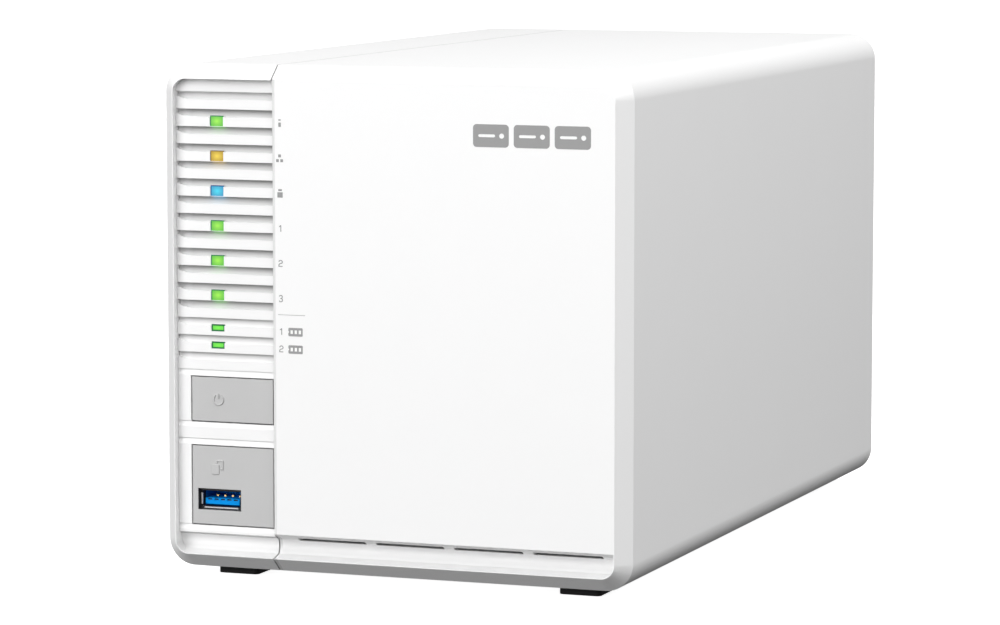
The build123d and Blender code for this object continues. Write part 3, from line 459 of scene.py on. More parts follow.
class Form:
    """Closed shapes gathered in one mesh: u across, v up and w out of a face, in millimetres."""

    def __init__(self, face, origin=(0.0, 0.0, 0.0)):
        across, up = (Vector(way) for way in FACES[face])
        self.place = Matrix((across, up, across.cross(up))).transposed().to_4x4()
        self.place.translation = Vector(origin)
        self.points = []
        self.faces = []

    def stack(self, loops):
        """A skin over loops of equal length, closed at both ends."""
        start, count = len(self.points), len(loops[0])
        self.points += [(self.place @ Vector(point)) * MM for loop in loops for point in loop]
        self.faces.append([start + i for i in reversed(range(count))])
        for level in range(len(loops) - 1):
            low = start + level * count
            for i in range(count):
                j = (i + 1) % count
                self.faces.append([low + i, low + j, low + count + j, low + count + i])
        top = start + (len(loops) - 1) * count
        self.faces.append([top + i for i in range(count)])

    def plate(self, outline, low, high, edge=0.0):
        """An outline raised from low to high, its upper edge bevelled."""
        loops = [[(u, v, low) for u, v in outline], [(u, v, high - edge) for u, v in outline]]
        if edge:
            loops.append([(u, v, high) for u, v in drawn_in(outline, edge)])
        self.stack(loops)

    def block(self, u0, u1, v0, v1, low, high, edge=0.0):
        """A rectangular block."""
        self.plate(rectangle(u0, u1, v0, v1), low, high, edge)

    def turned(self, u, v, profile, steps):
        """A turned shape on its own axis out of the face: (radius, w) from below to the top."""
        self.stack([[(a, b, w) for a, b in disc(u, v, radius, steps)] for radius, w in profile])

    def hoop(self, u, v, section, steps):
        """A ring out of the face: its closed section as (radius, w), anticlockwise outside first."""
        start, count = len(self.points), len(section)
        for step in range(steps):
            angle = 2 * math.pi * step / steps
            for radius, w in section:
                point = Vector((u + radius * math.cos(angle), v + radius * math.sin(angle), w))
                self.points.append((self.place @ point) * MM)
        for step in range(steps):
            here, there = start + step * count, start + (step + 1) % steps * count
            for i in range(count):
                j = (i + 1) % count
                self.faces.append([here + i, there + i, there + j, here + j])

    def mesh(self, name):
        """The gathered shapes as a mesh, in metres, all faces outwards."""
        mesh = bpy.data.meshes.new(name)
        mesh.from_pydata(self.points, [], self.faces)
        form = bmesh.new()
        form.from_mesh(mesh)
        bmesh.ops.recalc_face_normals(form, faces=form.faces)
        form.to_mesh(mesh)
        form.free()
        return mesh


def on_front(y):
    """An empty form on a front plane."""
    return Form("front", (0, y, 0))


def on_rear():
    """An empty form on the rear panel's face."""
    return Form("rear", (0, PANEL_Y, 0))


def on_board():
    """An empty form on the main board's face."""
    return Form("left", (CHIP_X, 0, 0))


SHARP = 32.0  # degrees between faces shaded as an edge
FOLD = 30.0  # degrees between faces that get a rounded edge
WELD = 0.002


def add_piece(name, mesh, slot=None, material=None, body="base", stands_for=(), sharp=SHARP):
    """A new object that rides on a body and takes a slot's finish."""
    mesh.shade_smooth()
    mesh.set_sharp_from_angle(angle=math.radians(sharp))
    mesh.materials.clear()
    mesh.materials.append(MATERIALS[material or slot])
    piece = put(name, mesh)
    if stands_for:
        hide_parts(*stands_for)
    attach(piece, body)
    flat = piece.modifiers.new("flat_faces", "WEIGHTED_NORMAL")
    flat.keep_sharp = True


def add_form(name, form, slot=None, material=None, body="base"):
    """A form as a new object, under one name."""
    add_piece(name, form.mesh(name), slot, material, body)


def carved(mesh, cutter):
    """A mesh less a form."""
    body, tool = put("carved", mesh), put("cutter", cutter.mesh("cutter"))
    step = body.modifiers.new("cut", "BOOLEAN")
    step.operation = "DIFFERENCE"
    step.solver = "EXACT"
    step.object = tool
    depsgraph = bpy.context.evaluated_depsgraph_get()
    result = bpy.data.meshes.new_from_object(body.evaluated_get(depsgraph))
    for thing in (body, tool):
        bpy.data.objects.remove(thing)
    return result


def refined(node, width, where=None, flat=0.5):
    """A CAD node's shape with facets merged and edges rounded; where picks edges by their middles."""
    form = bmesh.new()
    form.from_mesh(NODES[node].data)
    bmesh.ops.remove_doubles(form, verts=form.verts, dist=WELD * MM)
    bmesh.ops.dissolve_limit(form, angle_limit=math.radians(flat), verts=form.verts, edges=form.edges)
    edges = []
    for edge in form.edges:
        at = (edge.verts[0].co + edge.verts[1].co) / (2 * MM)
        folded = len(edge.link_faces) == 2 and edge.calc_face_angle() > math.radians(FOLD)
        if folded and (where is None or where(at)):
            edges.append(edge)
    if edges:
        bmesh.ops.bevel(form, geom=edges, offset=width * MM, offset_type="OFFSET", segments=2,
                        profile=0.5, affect="EDGES", clamp_overlap=True)
    mesh = bpy.data.meshes.new(node)
    form.to_mesh(mesh)
    form.free()
    if "custom_normal" in mesh.attributes:
        mesh.attributes.remove(mesh.attributes["custom_normal"])
    return mesh


def swap(node, mesh, suffix, material=None, sharp=SHARP):
    """A finished mesh in place of one CAD node, on its body, with its slot's finish unless another material
    is given.
    """
    add_piece(f"{node}_{suffix}", mesh, SLOT_OF[node], material, BODY_OF[node], (node,), sharp)


def ease(node, width, suffix="body", where=None, flat=0.5):
    """A CAD node swapped for its own shape with rounded edges."""
    swap(node, refined(node, width, where, flat), suffix)


# -------- case
CHAMFER_BACK = 5.0  # the nose chamfer ends this far behind the front
GROOVE_TOP = CASE_LOW + 11.55
ON_FACE = 0.1  # how close still counts as on a face
EASE_WIDE, EASE_DEEP, EASE_OUT = 0.95, 0.3, 0.5
GRIP_SHIFTS, GRIP_HALF, GRIP_END, GRIP_DEEP = (-3.0, 0.0, 3.0), 0.5, 2.2, 0.6


def outer_edge(at):
    """Whether a case edge is in plain sight: on the nose, round the rear rim or along the seam."""
    front = at.y < FRONT_Y + ON_FACE and at.z > GROOVE_TOP + 0.3
    chamfer = abs(at.y - FRONT_Y - CHAMFER_BACK) < ON_FACE / 2
    rim = at.y > REAR_Y - ON_FACE
    skin = at.z > CASE_TOP - ON_FACE or at.z < CASE_LOW + ON_FACE
    seam = skin and abs(at.x - COVER_EDGE_X) < 0.5
    return front or chamfer or rim or seam


def eased_cover():
    """The cover's shape, its front eased back in a narrow strip beside the slats."""
    edge = Form("top", (COVER_EDGE_X, FRONT_Y, GROOVE_TOP + 0.4))
    edge.plate([(-EASE_OUT, -EASE_OUT), (EASE_WIDE, -EASE_OUT), (EASE_WIDE, -0.004), (0.0, EASE_DEEP),
                (-EASE_OUT, EASE_DEEP)], 0.0, CASE_TOP - GROOVE_TOP)
    return carved(refined("slide_cover", 0.3, outer_edge, flat=0.05), edge)


def case_pieces():
    """Shell and cover with softened outer edges."""
    swap("slide_cover", eased_cover(), "moulding")
    ease("left_shell", 0.12, "moulding", outer_edge, flat=0.05)


def foot_pieces():
    """Feet with rounded edges and three grip grooves under each."""
    for node in ("feet_left", "feet_right"):
        x0, x1, y0, y1, _, _ = span(node)
        length = x1 - x0
        grooves = Form("under")
        for y in (y0 + length / 2, y1 - length / 2):
            for shift in GRIP_SHIFTS:
                v = shift - y
                grooves.block(x0 + GRIP_END, x1 - GRIP_END, v - GRIP_HALF, v + GRIP_HALF, -GRIP_DEEP, 0.5)
        swap(node, carved(refined(node, 0.15), grooves), "pads")


# -------- printed marks on the cover
MARK_X = -34.45
MARK_LOW, MARK_HIGH = -0.02, 0.03  # ink: sunk in the face, proud of it
DIGIT_PEN = 0.27
DIGITS = {
    "1": [[(-0.42, 0.5), (0.1, 0.86)], [(0.12, 0.98), (0.12, -0.95)]],
    "2": [[(-0.55, 0.5), (-0.4, 0.82), (0.0, 0.95), (0.42, 0.82), (0.55, 0.45), (0.4, 0.12), (-0.35, -0.1),
           (-0.55, -0.4), (-0.55, -0.82), (0.6, -0.82)]],
    "3": [[(-0.5, 0.62), (-0.2, 0.9), (0.25, 0.9), (0.5, 0.6), (0.42, 0.2), (0.1, 0.02)],
          [(-0.15, 0.02), (0.3, -0.02), (0.55, -0.35), (0.5, -0.72), (0.2, -0.95), (-0.25, -0.95),
           (-0.55, -0.65)]],
}
SIGNS = {  # rectangles round a sign's centre and their corner radius
    "status": ((-0.37, 0.37, 0.72, 1.09, 0), (-0.4, 0.4, -1.1, 0.14, 0)),
    "network": ((-0.48, 0.38, 0.27, 1.13, 0.08), (-1.15, -0.29, -1.13, -0.27, 0.08),
                (0.19, 1.05, -1.13, -0.27, 0.08)),
    "usb": ((-0.62, 0.52, 0.68, 1.24, 0), (-0.9, 0.77, -1.22, 0.35, 0.12)),
}
SIGN_X = {"status": MARK_X - 0.1, "network": MARK_X - 0.1, "usb": MARK_X}
CHIP_HALF, CHIP_CORNER = 1.25, 0.3
CHIP_HOLES = (1.05, 2.35, 3.65)  # their middles from the bar's left end
CHIP_HOLE_SIDES = (0.38, 0.55)
DRIVE_CORNER, DRIVE_SLOT, DRIVE_LIGHT = 1.1, (1.6, 4.2, 0.42), (2.2, 0.75)
LOGO_X = (25.9, 61.8)
LOGO_Z = (131.0, 137.6)
LOGO_GAP = 1.5
BADGE_X = (-32.1, -27.55)
DIVIDER_X = (-35.3, -26.75)
DIVIDER_HALF = 0.07


def mark(form, outline):
    """One flat printed area."""
    form.plate(outline, MARK_LOW, MARK_HIGH)


def plain_sign(form, name, z):
    """A dot above a bar, one square above two, or a plug-in storage stick."""
    x = SIGN_X[name]
    for u0, u1, v0, v1, radius in SIGNS[name]:
        sides = (x + u0, x + u1, z + v0, z + v1)
        mark(form, rounded(*sides, radius) if radius else rectangle(*sides))


def digit_mark(form, digit, x, z):
    """A numeral drawn with a fine pen."""
    for line in DIGITS[digit]:
        mark(form, stroke([(x + u, z + v) for u, v in line], DIGIT_PEN))


def chip_mark(x0, x1, z):
    """A memory stick seen flat: a filled bar with three square cut-outs and a notch."""
    form, holes = on_front(FRONT_Y), on_front(FRONT_Y)
    mark(form, rounded(x0, x1, z - CHIP_HALF, z + CHIP_HALF, CHIP_CORNER))
    wide, high = CHIP_HOLE_SIDES
    for shift in CHIP_HOLES:
        u = x0 + shift
        holes.block(u - wide, u + wide, z - high, z + high, -1, 1)
    holes.block(x0 - 0.3, x0 + 0.2, z - 0.25, z + 0.25, -1, 1)
    return carved(form.mesh("chip"), holes)


def drive_mark(x0, x1, z0, z1):
    """A drive seen from its end: a filled bar with a slot and a round light cut out."""
    form, holes = on_front(FRONT_Y), on_front(FRONT_Y)
    z = (z0 + z1) / 2
    start, stop, half = DRIVE_SLOT
    inset, radius = DRIVE_LIGHT
    mark(form, rounded(x0, x1, z0, z1, DRIVE_CORNER, 6))
    holes.plate(rounded(x0 + start, x1 - stop, z - half, z + half, 0.4), -1, 1)
    holes.plate(disc(x1 - inset, z, radius, 24), -1, 1)
    return carved(form.mesh("drive"), holes)


def add_print(name, mesh):
    """Printed areas as one piece on the cover."""
    add_piece(name, mesh, material="print_grey", body="cover")


def printed_pieces():
    """All printing on the front: plain signs, numerals and generic pictograms."""
    height = {node[7:]: middle(node)[2] for node in NODES if node.startswith("window_")}
    signs, numerals, rule = (on_front(FRONT_Y) for _ in range(3))
    for name in SIGNS:
        plain_sign(signs, name, height[name])
    for digit in "123":
        digit_mark(numerals, digit, MARK_X, height["disk_" + digit])
    for digit in "12":
        digit_mark(numerals, digit, MARK_X + 0.1, height["stick_" + digit])
    rule_z = (height["disk_3"] + height["stick_1"]) / 2 + 0.1
    mark(rule, rectangle(*DIVIDER_X, rule_z - DIVIDER_HALF, rule_z + DIVIDER_HALF))
    for name, form in (("signs", signs), ("numerals", numerals), ("rule", rule)):
        add_print("printed_" + name, form.mesh(name))
    for digit in "12":
        add_print("printed_chip_" + digit, chip_mark(*BADGE_X, height["stick_" + digit]))
    width = (LOGO_X[1] - LOGO_X[0] - 2 * LOGO_GAP) / 3
    for index in range(3):
        x0 = LOGO_X[0] + index * (width + LOGO_GAP)
        add_print(f"printed_drive_{index + 1}", drive_mark(x0, x0 + width, *LOGO_Z))


# -------- buttons and their raised signs
SIGN_LOW, SIGN_HIGH, SIGN_EDGE = -0.05, 0.28, 0.1
POWER_SIGN_X = -55.7
POWER_RING = (1.55, 125, 415, 0.38)  # radius, start and stop in degrees, pen
COPY_SIGN, COPY_SIGN_HALF = (-56.78, 32.8), (1.2, 1.5)
COPY_BACK, COPY_BACK_HALF, COPY_PEN = (-55.38, 34.2), (1.15, 1.4), 0.4


def raised(form, outline):
    """One raised part of a button's sign."""
    form.plate(outline, SIGN_LOW, SIGN_HIGH, SIGN_EDGE)


def button_pieces():
    """Push plates with softened edges, a standby sign and a copy sign."""
    for node in ("power_button", "copy_button"):
        ease(node, 0.15, "plate", lambda at: at.y < BUTTON_Y + 0.05)
    form = Form("front", (POWER_SIGN_X, BUTTON_Y, middle("power_button")[2]))
    radius, start, stop, pen = POWER_RING
    raised(form, stroke(arc(0, 0, radius, start, stop, 28), pen))
    raised(form, rounded(-pen / 2, pen / 2, 0.3, 1.8, 0.15))
    add_form("power_sign", form, "button_grey", body="power_key")
    form = on_front(BUTTON_Y)
    (x, z), (wide, high) = COPY_SIGN, COPY_SIGN_HALF
    raised(form, rounded(x - wide, x + wide, z - high, z + high, 0.25))
    (x, z), (wide, high), inset = COPY_BACK, COPY_BACK_HALF, COPY_PEN / 2
    left, right, low, high = x - wide + inset, x + wide - inset, z - high + inset, z + high - inset
    raised(form, stroke([(left, high - 0.7), (left, high), (right, high), (right, low),
                         (right - 0.55, low)], COPY_PEN))
    add_form("copy_sign", form, "button_grey", body="copy_key")


# -------- indicator windows
WINDOW_LIFT = 0.4  # a window's top edge above its slat's top edge
LENS_THICK, LENS_EDGE = 0.15, 0.06
PIPE_IN = 0.3  # the light pipe's sides, from the lens's
SHADE_BACK, SILL_BACK, SILL_GAP = 0.3, 2.3, 0.02
GLOW_RIB = (0.45, 1.55)  # depth behind the lens of the rib that lights the gap under the slat
RIB_HANG, RIB_ROOT = 0.185, 0.4


def window_pieces():
    """Each indicator's lens, light pipe and rib, the shade over it and the sill behind the shade."""
    lens_y = span("window_status")[2]
    sills, shades = on_front(lens_y), on_front(lens_y)
    for node in NODES:
        if not node.startswith("window_"):
            continue
        x0, x1, y0, y1, z0, z1 = span(node)
        slat_top, shade_top = z1 - WINDOW_LIFT, z1 - SILL_GAP
        form = on_front(y0)
        form.block(x0, x1, z0, z1, -LENS_THICK, 0.0, LENS_EDGE)
        form.block(x0 + PIPE_IN, x1 - PIPE_IN, z0 + PIPE_IN, slat_top - 0.1, y0 - y1, 0.1 - LENS_THICK)
        shades.block(x0 + SILL_GAP, x1 - SILL_GAP, slat_top - SILL_GAP, shade_top, -SHADE_BACK, -LENS_THICK)
        small = node.startswith("window_stick")
        if not small:
            near, far = GLOW_RIB
            form.block(x0 + 0.1, x1 - 0.1, z0 - RIB_HANG, z0 + RIB_ROOT, -far, -near)
        swap(node, form.mesh(node), "lens", "window_small" if small else None)
        sills.block(x0, x1, slat_top, shade_top, -SILL_BACK, -SHADE_BACK)
    add_form("window_sills", sills, "case_white", "louvre_white_painted_shade")
    add_form("window_shades", shades, "socket_plastic")


# -------- front USB socket
USB_SLOTS, USB_SLOT_PITCH, USB_SLOT_HALF = 5, 2.08, 0.7
USB_PINS, USB_PIN_PITCH, USB_PIN_HALF = 4, 2.44, 0.3
USB_PIN_SIDE = ((4.0, -0.05), (5.4, -0.05), (5.2, 0.46), (4.12, 0.46))  # depth and height on the tongue
USB_BLOCK_BACK = (4.2, 2.9)  # before the tongue's root
USB_BLOCK_HIGH = (0.5, 1.9)
USB_LIP, USB_LIP_LOW = 0.62, 0.45  # steel lips at the mouth
USB_LIP_BACK = -0.3
USB_CORNER = 1.15  # the lips stop this far from the corners
USB_HOOD, USB_HOOD_OUT = 0.42, 0.2  # black edge over the top and right of the mouth
JACKET_IN, JACKET_BACK = 0.46, -2.6  # black lining, from the shell's outer face inwards


def band(y, outer, inner, low, high):
    """A flat ring between two outlines on a front plane."""
    solid, hole = on_front(y), on_front(y)
    solid.plate(outer, low, high)
    hole.plate(inner, low - 1, high + 1)
    return carved(solid.mesh("band"), hole)


def front_usb_tongue():
    """Blue tongue with five dark recesses in its tip, four sprung contacts and blocks behind them."""
    x0, x1, tip_y, back_y, z0, z1 = span("front_usb_tongue")
    origin = ((x0 + x1) / 2, tip_y, (z0 + z1) / 2 + 0.1)
    cuts, fills, pins, blocks = (Form("top", origin) for _ in range(4))
    half, wider = USB_SLOT_HALF, USB_SLOT_HALF + 0.05
    for at in centred(USB_SLOTS, USB_SLOT_PITCH):
        u = at + 0.1
        cuts.block(u - half, u + half, -0.5, 0.7, -0.6, -0.14)
        fills.block(u - wider, u + wider, 0.4, 0.75, -0.65, -0.1, 0.02)
    swap("front_usb_tongue", carved(refined("front_usb_tongue", 0.08), cuts), "moulding")
    add_form("front_usb_slots", fills, "socket_plastic", "chip_black")
    far, near = (back_y - tip_y - back for back in USB_BLOCK_BACK)
    for at in centred(USB_PINS, USB_PIN_PITCH):
        u = at + 0.3
        pins.stack([[(u + side, v, w) for v, w in USB_PIN_SIDE] for side in (-USB_PIN_HALF, USB_PIN_HALF)])
        blocks.block(u - 0.2, u + 1.0, far, near, *USB_BLOCK_HIGH, 0.1)
    add_form("front_usb_pins", pins, "port_metal", "gold")
    add_form("front_usb_blocks", blocks, "usb_blue")


def front_usb_pieces():
    """Tongue, steel lips at the mouth, black hood, jacket and lining, and the button's window lining."""
    front_usb_tongue()
    x0, x1, y0, y1, z0, z1 = span("front_usb_shell")
    shell = rectangle(x0, x1, z0, z1)
    lips, hood = on_front(y0), on_front(y0)
    lips.block(x0 + 0.02, x0 + USB_LIP, z0 + USB_CORNER, z1 - USB_CORNER, USB_LIP_BACK, 0.03, 0.06)
    lips.block(x0 + USB_CORNER, x1 - USB_CORNER, z0 + 0.02, z0 + USB_LIP_LOW, USB_LIP_BACK, 0.03, 0.06)
    right, top = x1 + USB_HOOD_OUT, z1 + USB_HOOD_OUT
    hood.block(x0 - USB_HOOD_OUT, right, z1 - USB_HOOD, top, USB_LIP_BACK, 0.04, 0.02)
    hood.block(x1 - USB_HOOD, right, z0 + 0.6, z1 - 0.3, USB_LIP_BACK, 0.03, 0.02)
    add_form("front_usb_hood", hood, "socket_plastic")
    add_form("front_usb_lips", lips, "usb_steel")
    inside = drawn_in(shell, JACKET_IN)
    jacket = band(y0, drawn_in(shell, -0.2), inside, JACKET_BACK, USB_LIP_BACK)
    add_piece("front_usb_jacket", jacket, "socket_plastic")
    lining = band(y0, drawn_in(shell, 0.2), inside, y0 - y1 + 3.5, JACKET_BACK + 0.1)
    add_piece("front_usb_lining", lining, "usb_blue")
    window = band(BUTTON_Y, drawn_in(shell, -0.35), drawn_in(shell, -0.24), -1.6, -0.08)
    add_piece("copy_window_lining", window, material="socket_plastic", body="copy_key")


# -------- fan
FAN_HUB, FAN_TIP, FAN_DEEP = 17.0, 42.6, 16.0
FAN_BLADES, BLADE_RINGS, BLADE_STEPS = 7, 8, 6
BLADE_PITCH, BLADE_UNTWIST = 48, 16  # degrees at the hub, less by this much at the tip
BLADE_CHORD, BLADE_WIDENS = 17.0, 9.0
BLADE_CAMBER, BLADE_SWEEP = 3.8, 0.45
BLADE_HALF, BLADE_TAPER = 0.75, 0.7  # half thickness, and what it loses towards the edges


def blade_loop(radius, share, start):
    """One section of a fan blade: a thin bent strip wrapped on its own radius."""
    pitch = math.radians(BLADE_PITCH - BLADE_UNTWIST * share)
    chord = BLADE_CHORD + BLADE_WIDENS * share
    steps = range(BLADE_STEPS + 1)
    loop = []
    for side, order in ((1, steps), (-1, reversed(steps))):
        for step in order:
            along = step / BLADE_STEPS - 0.5
            out = BLADE_CAMBER * (0.25 - along * along) + side * (BLADE_HALF - abs(along) * BLADE_TAPER)
            run = chord * along * math.cos(pitch) - out * math.sin(pitch)
            rise = chord * along * math.sin(pitch) + out * math.cos(pitch)
            angle = start + BLADE_SWEEP * share * share + run / radius
            w = max(min(FAN_DEEP / 2 + rise, FAN_DEEP - 0.2), 0.2)
            loop.append((radius * math.cos(angle), radius * math.sin(angle), w))
    return loop


def fan_pieces():
    """Fan housing and rotor: domed hub, shaft and seven curved blades."""
    ease("fan_frame", 0.4, "housing")
    x, _, z = middle("fan_frame")
    _, _, y0, y1, _, _ = span("fan_rotor")
    form = Form("rear", (x, y0, z))
    form.turned(0, 0, [(FAN_HUB - 1.6, 0.0), (FAN_HUB - 0.4, 0.5), (FAN_HUB, 1.6), (FAN_HUB, FAN_DEEP - 0.5),
                       (FAN_HUB - 0.5, FAN_DEEP)], 56)
    form.turned(0, 0, [(1.5, FAN_DEEP - 1.0), (1.5, y1 - y0)], 20)
    root = FAN_HUB - 0.6
    for index in range(FAN_BLADES):
        start = 2 * math.pi * index / FAN_BLADES
        shares = [step / BLADE_RINGS for step in range(BLADE_RINGS + 1)]
        form.stack([blade_loop(root + (FAN_TIP - root) * share, share, start) for share in shares])
    swap("fan_rotor", form.mesh("fan_rotor"), "blades", sharp=45.0)


# -------- screws
FAN_HOLE_PITCH = 82.5
HEAD_RIM = ((1.0, 0.0), (1.0, 0.45), (0.93, 0.75), (0.74, 0.95), (0.4, 1.0))  # shares of radius and height
HEAD_HIGH, CROSS_FLOOR = 1.8, 0.7
FAN_SCREW = (3.6, ((1.5, -11.0), (1.9, -10.0), (1.9, 0.3)), 1.7)  # head, shank, cross
BOARD_SCREW = (2.75, ((1.4, -3.4), (1.4, 0.3)), 1.3)
THUMB_TEETH, THUMB_TOOTH, THUMB_HIGH = 48, 0.35, 5.0
THUMB_SHANK = ((1.2, -11.2), (1.5, -10.4), (1.5, 0.2))


def cross_cut(form, u, v, size, low):
    """A crossed driver recess."""
    for du, dv in ((size, size / 4), (size / 4, size)):
        form.block(u - du, u + du, v - dv, v + dv, low, THUMB_HIGH)


def pan_screws(node, blank, spots, radius, shank, cross):
    """Screws with rounded heads and driver recesses."""
    heads, cuts = blank(), blank()
    for u, v in spots:
        heads.turned(u, v, [(radius * share, HEAD_HIGH * rise) for share, rise in HEAD_RIM], 28)
        heads.turned(u, v, shank, 16)
        cross_cut(cuts, u, v, cross, CROSS_FLOOR)
    swap(node, carved(heads.mesh("heads"), cuts), "cross")


def thumb_screw_pieces():
    """Two thumb screws with knurled heads and driver recesses."""
    heads, cuts = on_rear(), on_rear()
    x0, x1, _, _, z0, z1 = span("thumb_screws")
    v = (z0 + z1) / 2
    radius = (z1 - z0) / 2
    for x in (x0 + radius, x1 - radius):
        teeth = []
        for index in range(THUMB_TEETH):
            angle = 2 * math.pi * index / THUMB_TEETH
            reach = radius - THUMB_TOOTH * (index % 2)
            teeth.append((-x + reach * math.cos(angle), v + reach * math.sin(angle)))
        heads.plate(teeth, 0.6, THUMB_HIGH, 0.45)
        heads.turned(-x, v, [(radius * 0.86, 0.0), (radius * 0.86, 0.7)], 28)
        heads.turned(-x, v, THUMB_SHANK, 16)
        cross_cut(cuts, -x, v, 2.1, 3.6)
    swap("thumb_screws", carved(heads.mesh("heads"), cuts), "knurled", sharp=25.0)


def screw_pieces():
    """Fan, thumb and board screws."""
    x, _, z = middle("fan_frame")
    half = FAN_HOLE_PITCH / 2
    spots = [(-x - side * half, z + lift * half) for side in (-1, 1) for lift in (-1, 1)]
    pan_screws("fan_screws", on_rear, spots, *FAN_SCREW)
    thumb_screw_pieces()
    _, _, y0, y1, z0, z1 = span("board_screws")
    inset = BOARD_SCREW[0]
    spots = [(-y, z) for y in (y0 + inset, y1 - inset) for z in (z0 + inset, z1 - inset)]
    pan_screws("board_screws", on_board, spots, *BOARD_SCREW)


# -------- rear panel and ports
LAN_PINS, LAN_PITCH, LAN_HALF = 8, 1.02, 0.17
LAN_PIN_SIDE = ((4.15, -2.2), (3.8, -2.2), (2.2, -8.5), (2.6, -9.0))
LINK_LIGHT = (0.7, 2.6, 1.0, 0.55)  # from the socket's right side and ends, half height
REAR_USB_IN = 4.0  # the sockets' middles, from the shell's sides
REAR_PINS, REAR_PITCH, REAR_HALF = 4, 2.4, 0.5
REAR_TONGUE = (0.78, 1.28, 5.7)
VIDEO_PINS, VIDEO_END, VIDEO_HALF = 10, 3.0, 0.22
POWER_PIN = ((1.06, -10.0), (1.06, -1.3), (0.8, -0.8), (0.3, -0.6))
POWER_SLEEVE = ((3.35, -9.0), (3.35, -0.7), (3.1, -0.7), (3.1, -9.0))


def contact_pieces():
    """Contacts of the network, USB and display sockets, and the USB tongues."""
    pins, tongues = on_rear(), on_rear()
    x, _, z = middle("lan_port")
    for at in centred(LAN_PINS, LAN_PITCH):
        pins.stack([[(-x - u, z + at + side, w) for u, w in LAN_PIN_SIDE] for side in (-LAN_HALF, LAN_HALF)])
    x0, x1, _, _, z0, z1 = span("rear_usb_ports")
    mid_z = (z0 + z1) / 2
    for x in (x0 + REAR_USB_IN, x1 - REAR_USB_IN):
        for at in centred(REAR_PINS, REAR_PITCH):
            v = mid_z + at
            pins.block(-x + 1.05, -x + 1.4, v - REAR_HALF, v + REAR_HALF, -9.0, -1.6, 0.1)
        right, left, half = REAR_TONGUE
        tongues.block(-x - right, -x + left, mid_z - half, mid_z + half, -11.0, -0.5, 0.15)
    x0, x1, _, _, z0, z1 = span("hdmi_port")
    u = -(x0 + x1) / 2
    for v in spaced(z0 + VIDEO_END, z1 - VIDEO_END, VIDEO_PINS):
        pins.block(u + 0.85, u + 1.0, v - VIDEO_HALF, v + VIDEO_HALF, -8.0, -1.2, 0.05)
    add_form("rear_contacts", pins, "port_metal", "gold")
    add_form("rear_usb_tongues", tongues, "port_metal", "usb_blue")


def rear_pieces():
    """Panel, sockets with their contacts, link lights and the power pin."""
    ease("rear_panel", 0.15, "sheet")
    for node in ("lan_port", "rear_usb_ports", "hdmi_port", "power_jack"):
        ease(node, 0.12)
    ease("reset_button", 0.2, "pin")
    contact_pieces()
    _, x1, _, _, z0, z1 = span("lan_port")
    near, far, end, half = LINK_LIGHT
    lights = on_rear()
    for v in (z0 + end, z1 - end):
        lights.plate(rounded(-x1 + near, -x1 + far, v - half, v + half, 0.25), -0.5, 0.1, 0.08)
    add_form("link_lights", lights, "light_chip")
    x, _, z = middle("power_jack")
    pin = on_rear()
    pin.turned(-x, z, POWER_PIN, 20)
    pin.hoop(-x, z, POWER_SLEEVE, 40)
    add_form("power_contacts", pin, "port_metal", "pin_steel")


# -------- drives, trays and cage
DRIVE_HIGH = 26.1
PLATTER_Y = 52  # the platters' axis, from the drive's front
PLATTER_COVER = ((31.0, 0.5), (31.0, 0.9), (30.4, 1.15))
PLATTER_CAP = ((9.0, 1.0), (9.0, 1.5), (8.4, 1.75))
PLATTER_GROOVE = ((25.0, 0.85), (25.0, 2.0), (24.0, 2.0), (24.0, 0.85))
LID_SCREW, LID_SCREW_IN = ((2.6, 0.5), (2.6, 1.2), (2.2, 1.45)), 10.5
TRAY_BARS, TRAY_BAR_END = (1.6, 11.6, 26.6, 36.2), 4  # heights over the tray's foot, gap at the ends
LEVER_RIBS, LEVER_RIB_START, LEVER_RIB_PITCH = 7, 40, 2.4
LEVER_FACE = 0.6
LATCH, LATCH_HALF = (9.5, 1.5), 5.5
LATCH_RIBS, LATCH_RIB_PITCH, LATCH_RIB = 4, 2.4, (8.3, 2.7)
RIVET = ((2.0, -0.1), (1.9, 0.35), (1.3, 0.75), (0.5, 0.9))
RIVETS, RIVET_SIDE, RIVET_END = 6, 5, 12


def drive_pieces(bay):
    """One hard drive: cast body, pressed lid with its screws, blank label and connector."""
    node = f"drive_{bay}"
    body = BODY_OF[node]
    x0, x1, y0, y1, _, top = span(node)
    mid_x, axis_y = (x0 + x1) / 2, y0 + PLATTER_Y
    ease(node, 0.6, "casting")
    lid, cuts, label = (Form("top", (0, 0, top)) for _ in range(3))
    lid.plate(rounded(x0 + 6, x1 - 6, y0 + 4, y1 - 5, 4.0), -0.4, 0.7, 0.35)
    lid.turned(mid_x, axis_y, PLATTER_COVER, 64)
    lid.turned(mid_x, axis_y, PLATTER_CAP, 40)
    for u in (x0 + LID_SCREW_IN, x1 - LID_SCREW_IN):
        for v in (y0 + 9, y0 + 72, y1 - 10):
            lid.turned(u, v, LID_SCREW, 20)
            cuts.plate(disc(u, v, 1.2, 6), 0.75, 3.0)
    cuts.hoop(mid_x, axis_y, PLATTER_GROOVE, 64)
    add_piece(f"drive_lid_{bay}", carved(lid.mesh("lid"), cuts), "drive_metal", body=body)
    label.plate(rounded(mid_x - 31, mid_x + 31, y0 + 90, y0 + 136, 1.5), 0.6, 0.78, 0.05)
    add_form(f"drive_label_{bay}", label, material="label_paper", body=body)
    plug = Form("rear", (0, y1, top - DRIVE_HIGH))
    plug.block(-mid_x - 42, -mid_x - 2, 2.2, 7.8, -1.0, 0.35, 0.1)
    add_form(f"drive_plug_{bay}", plug, "socket_plastic", body=body)


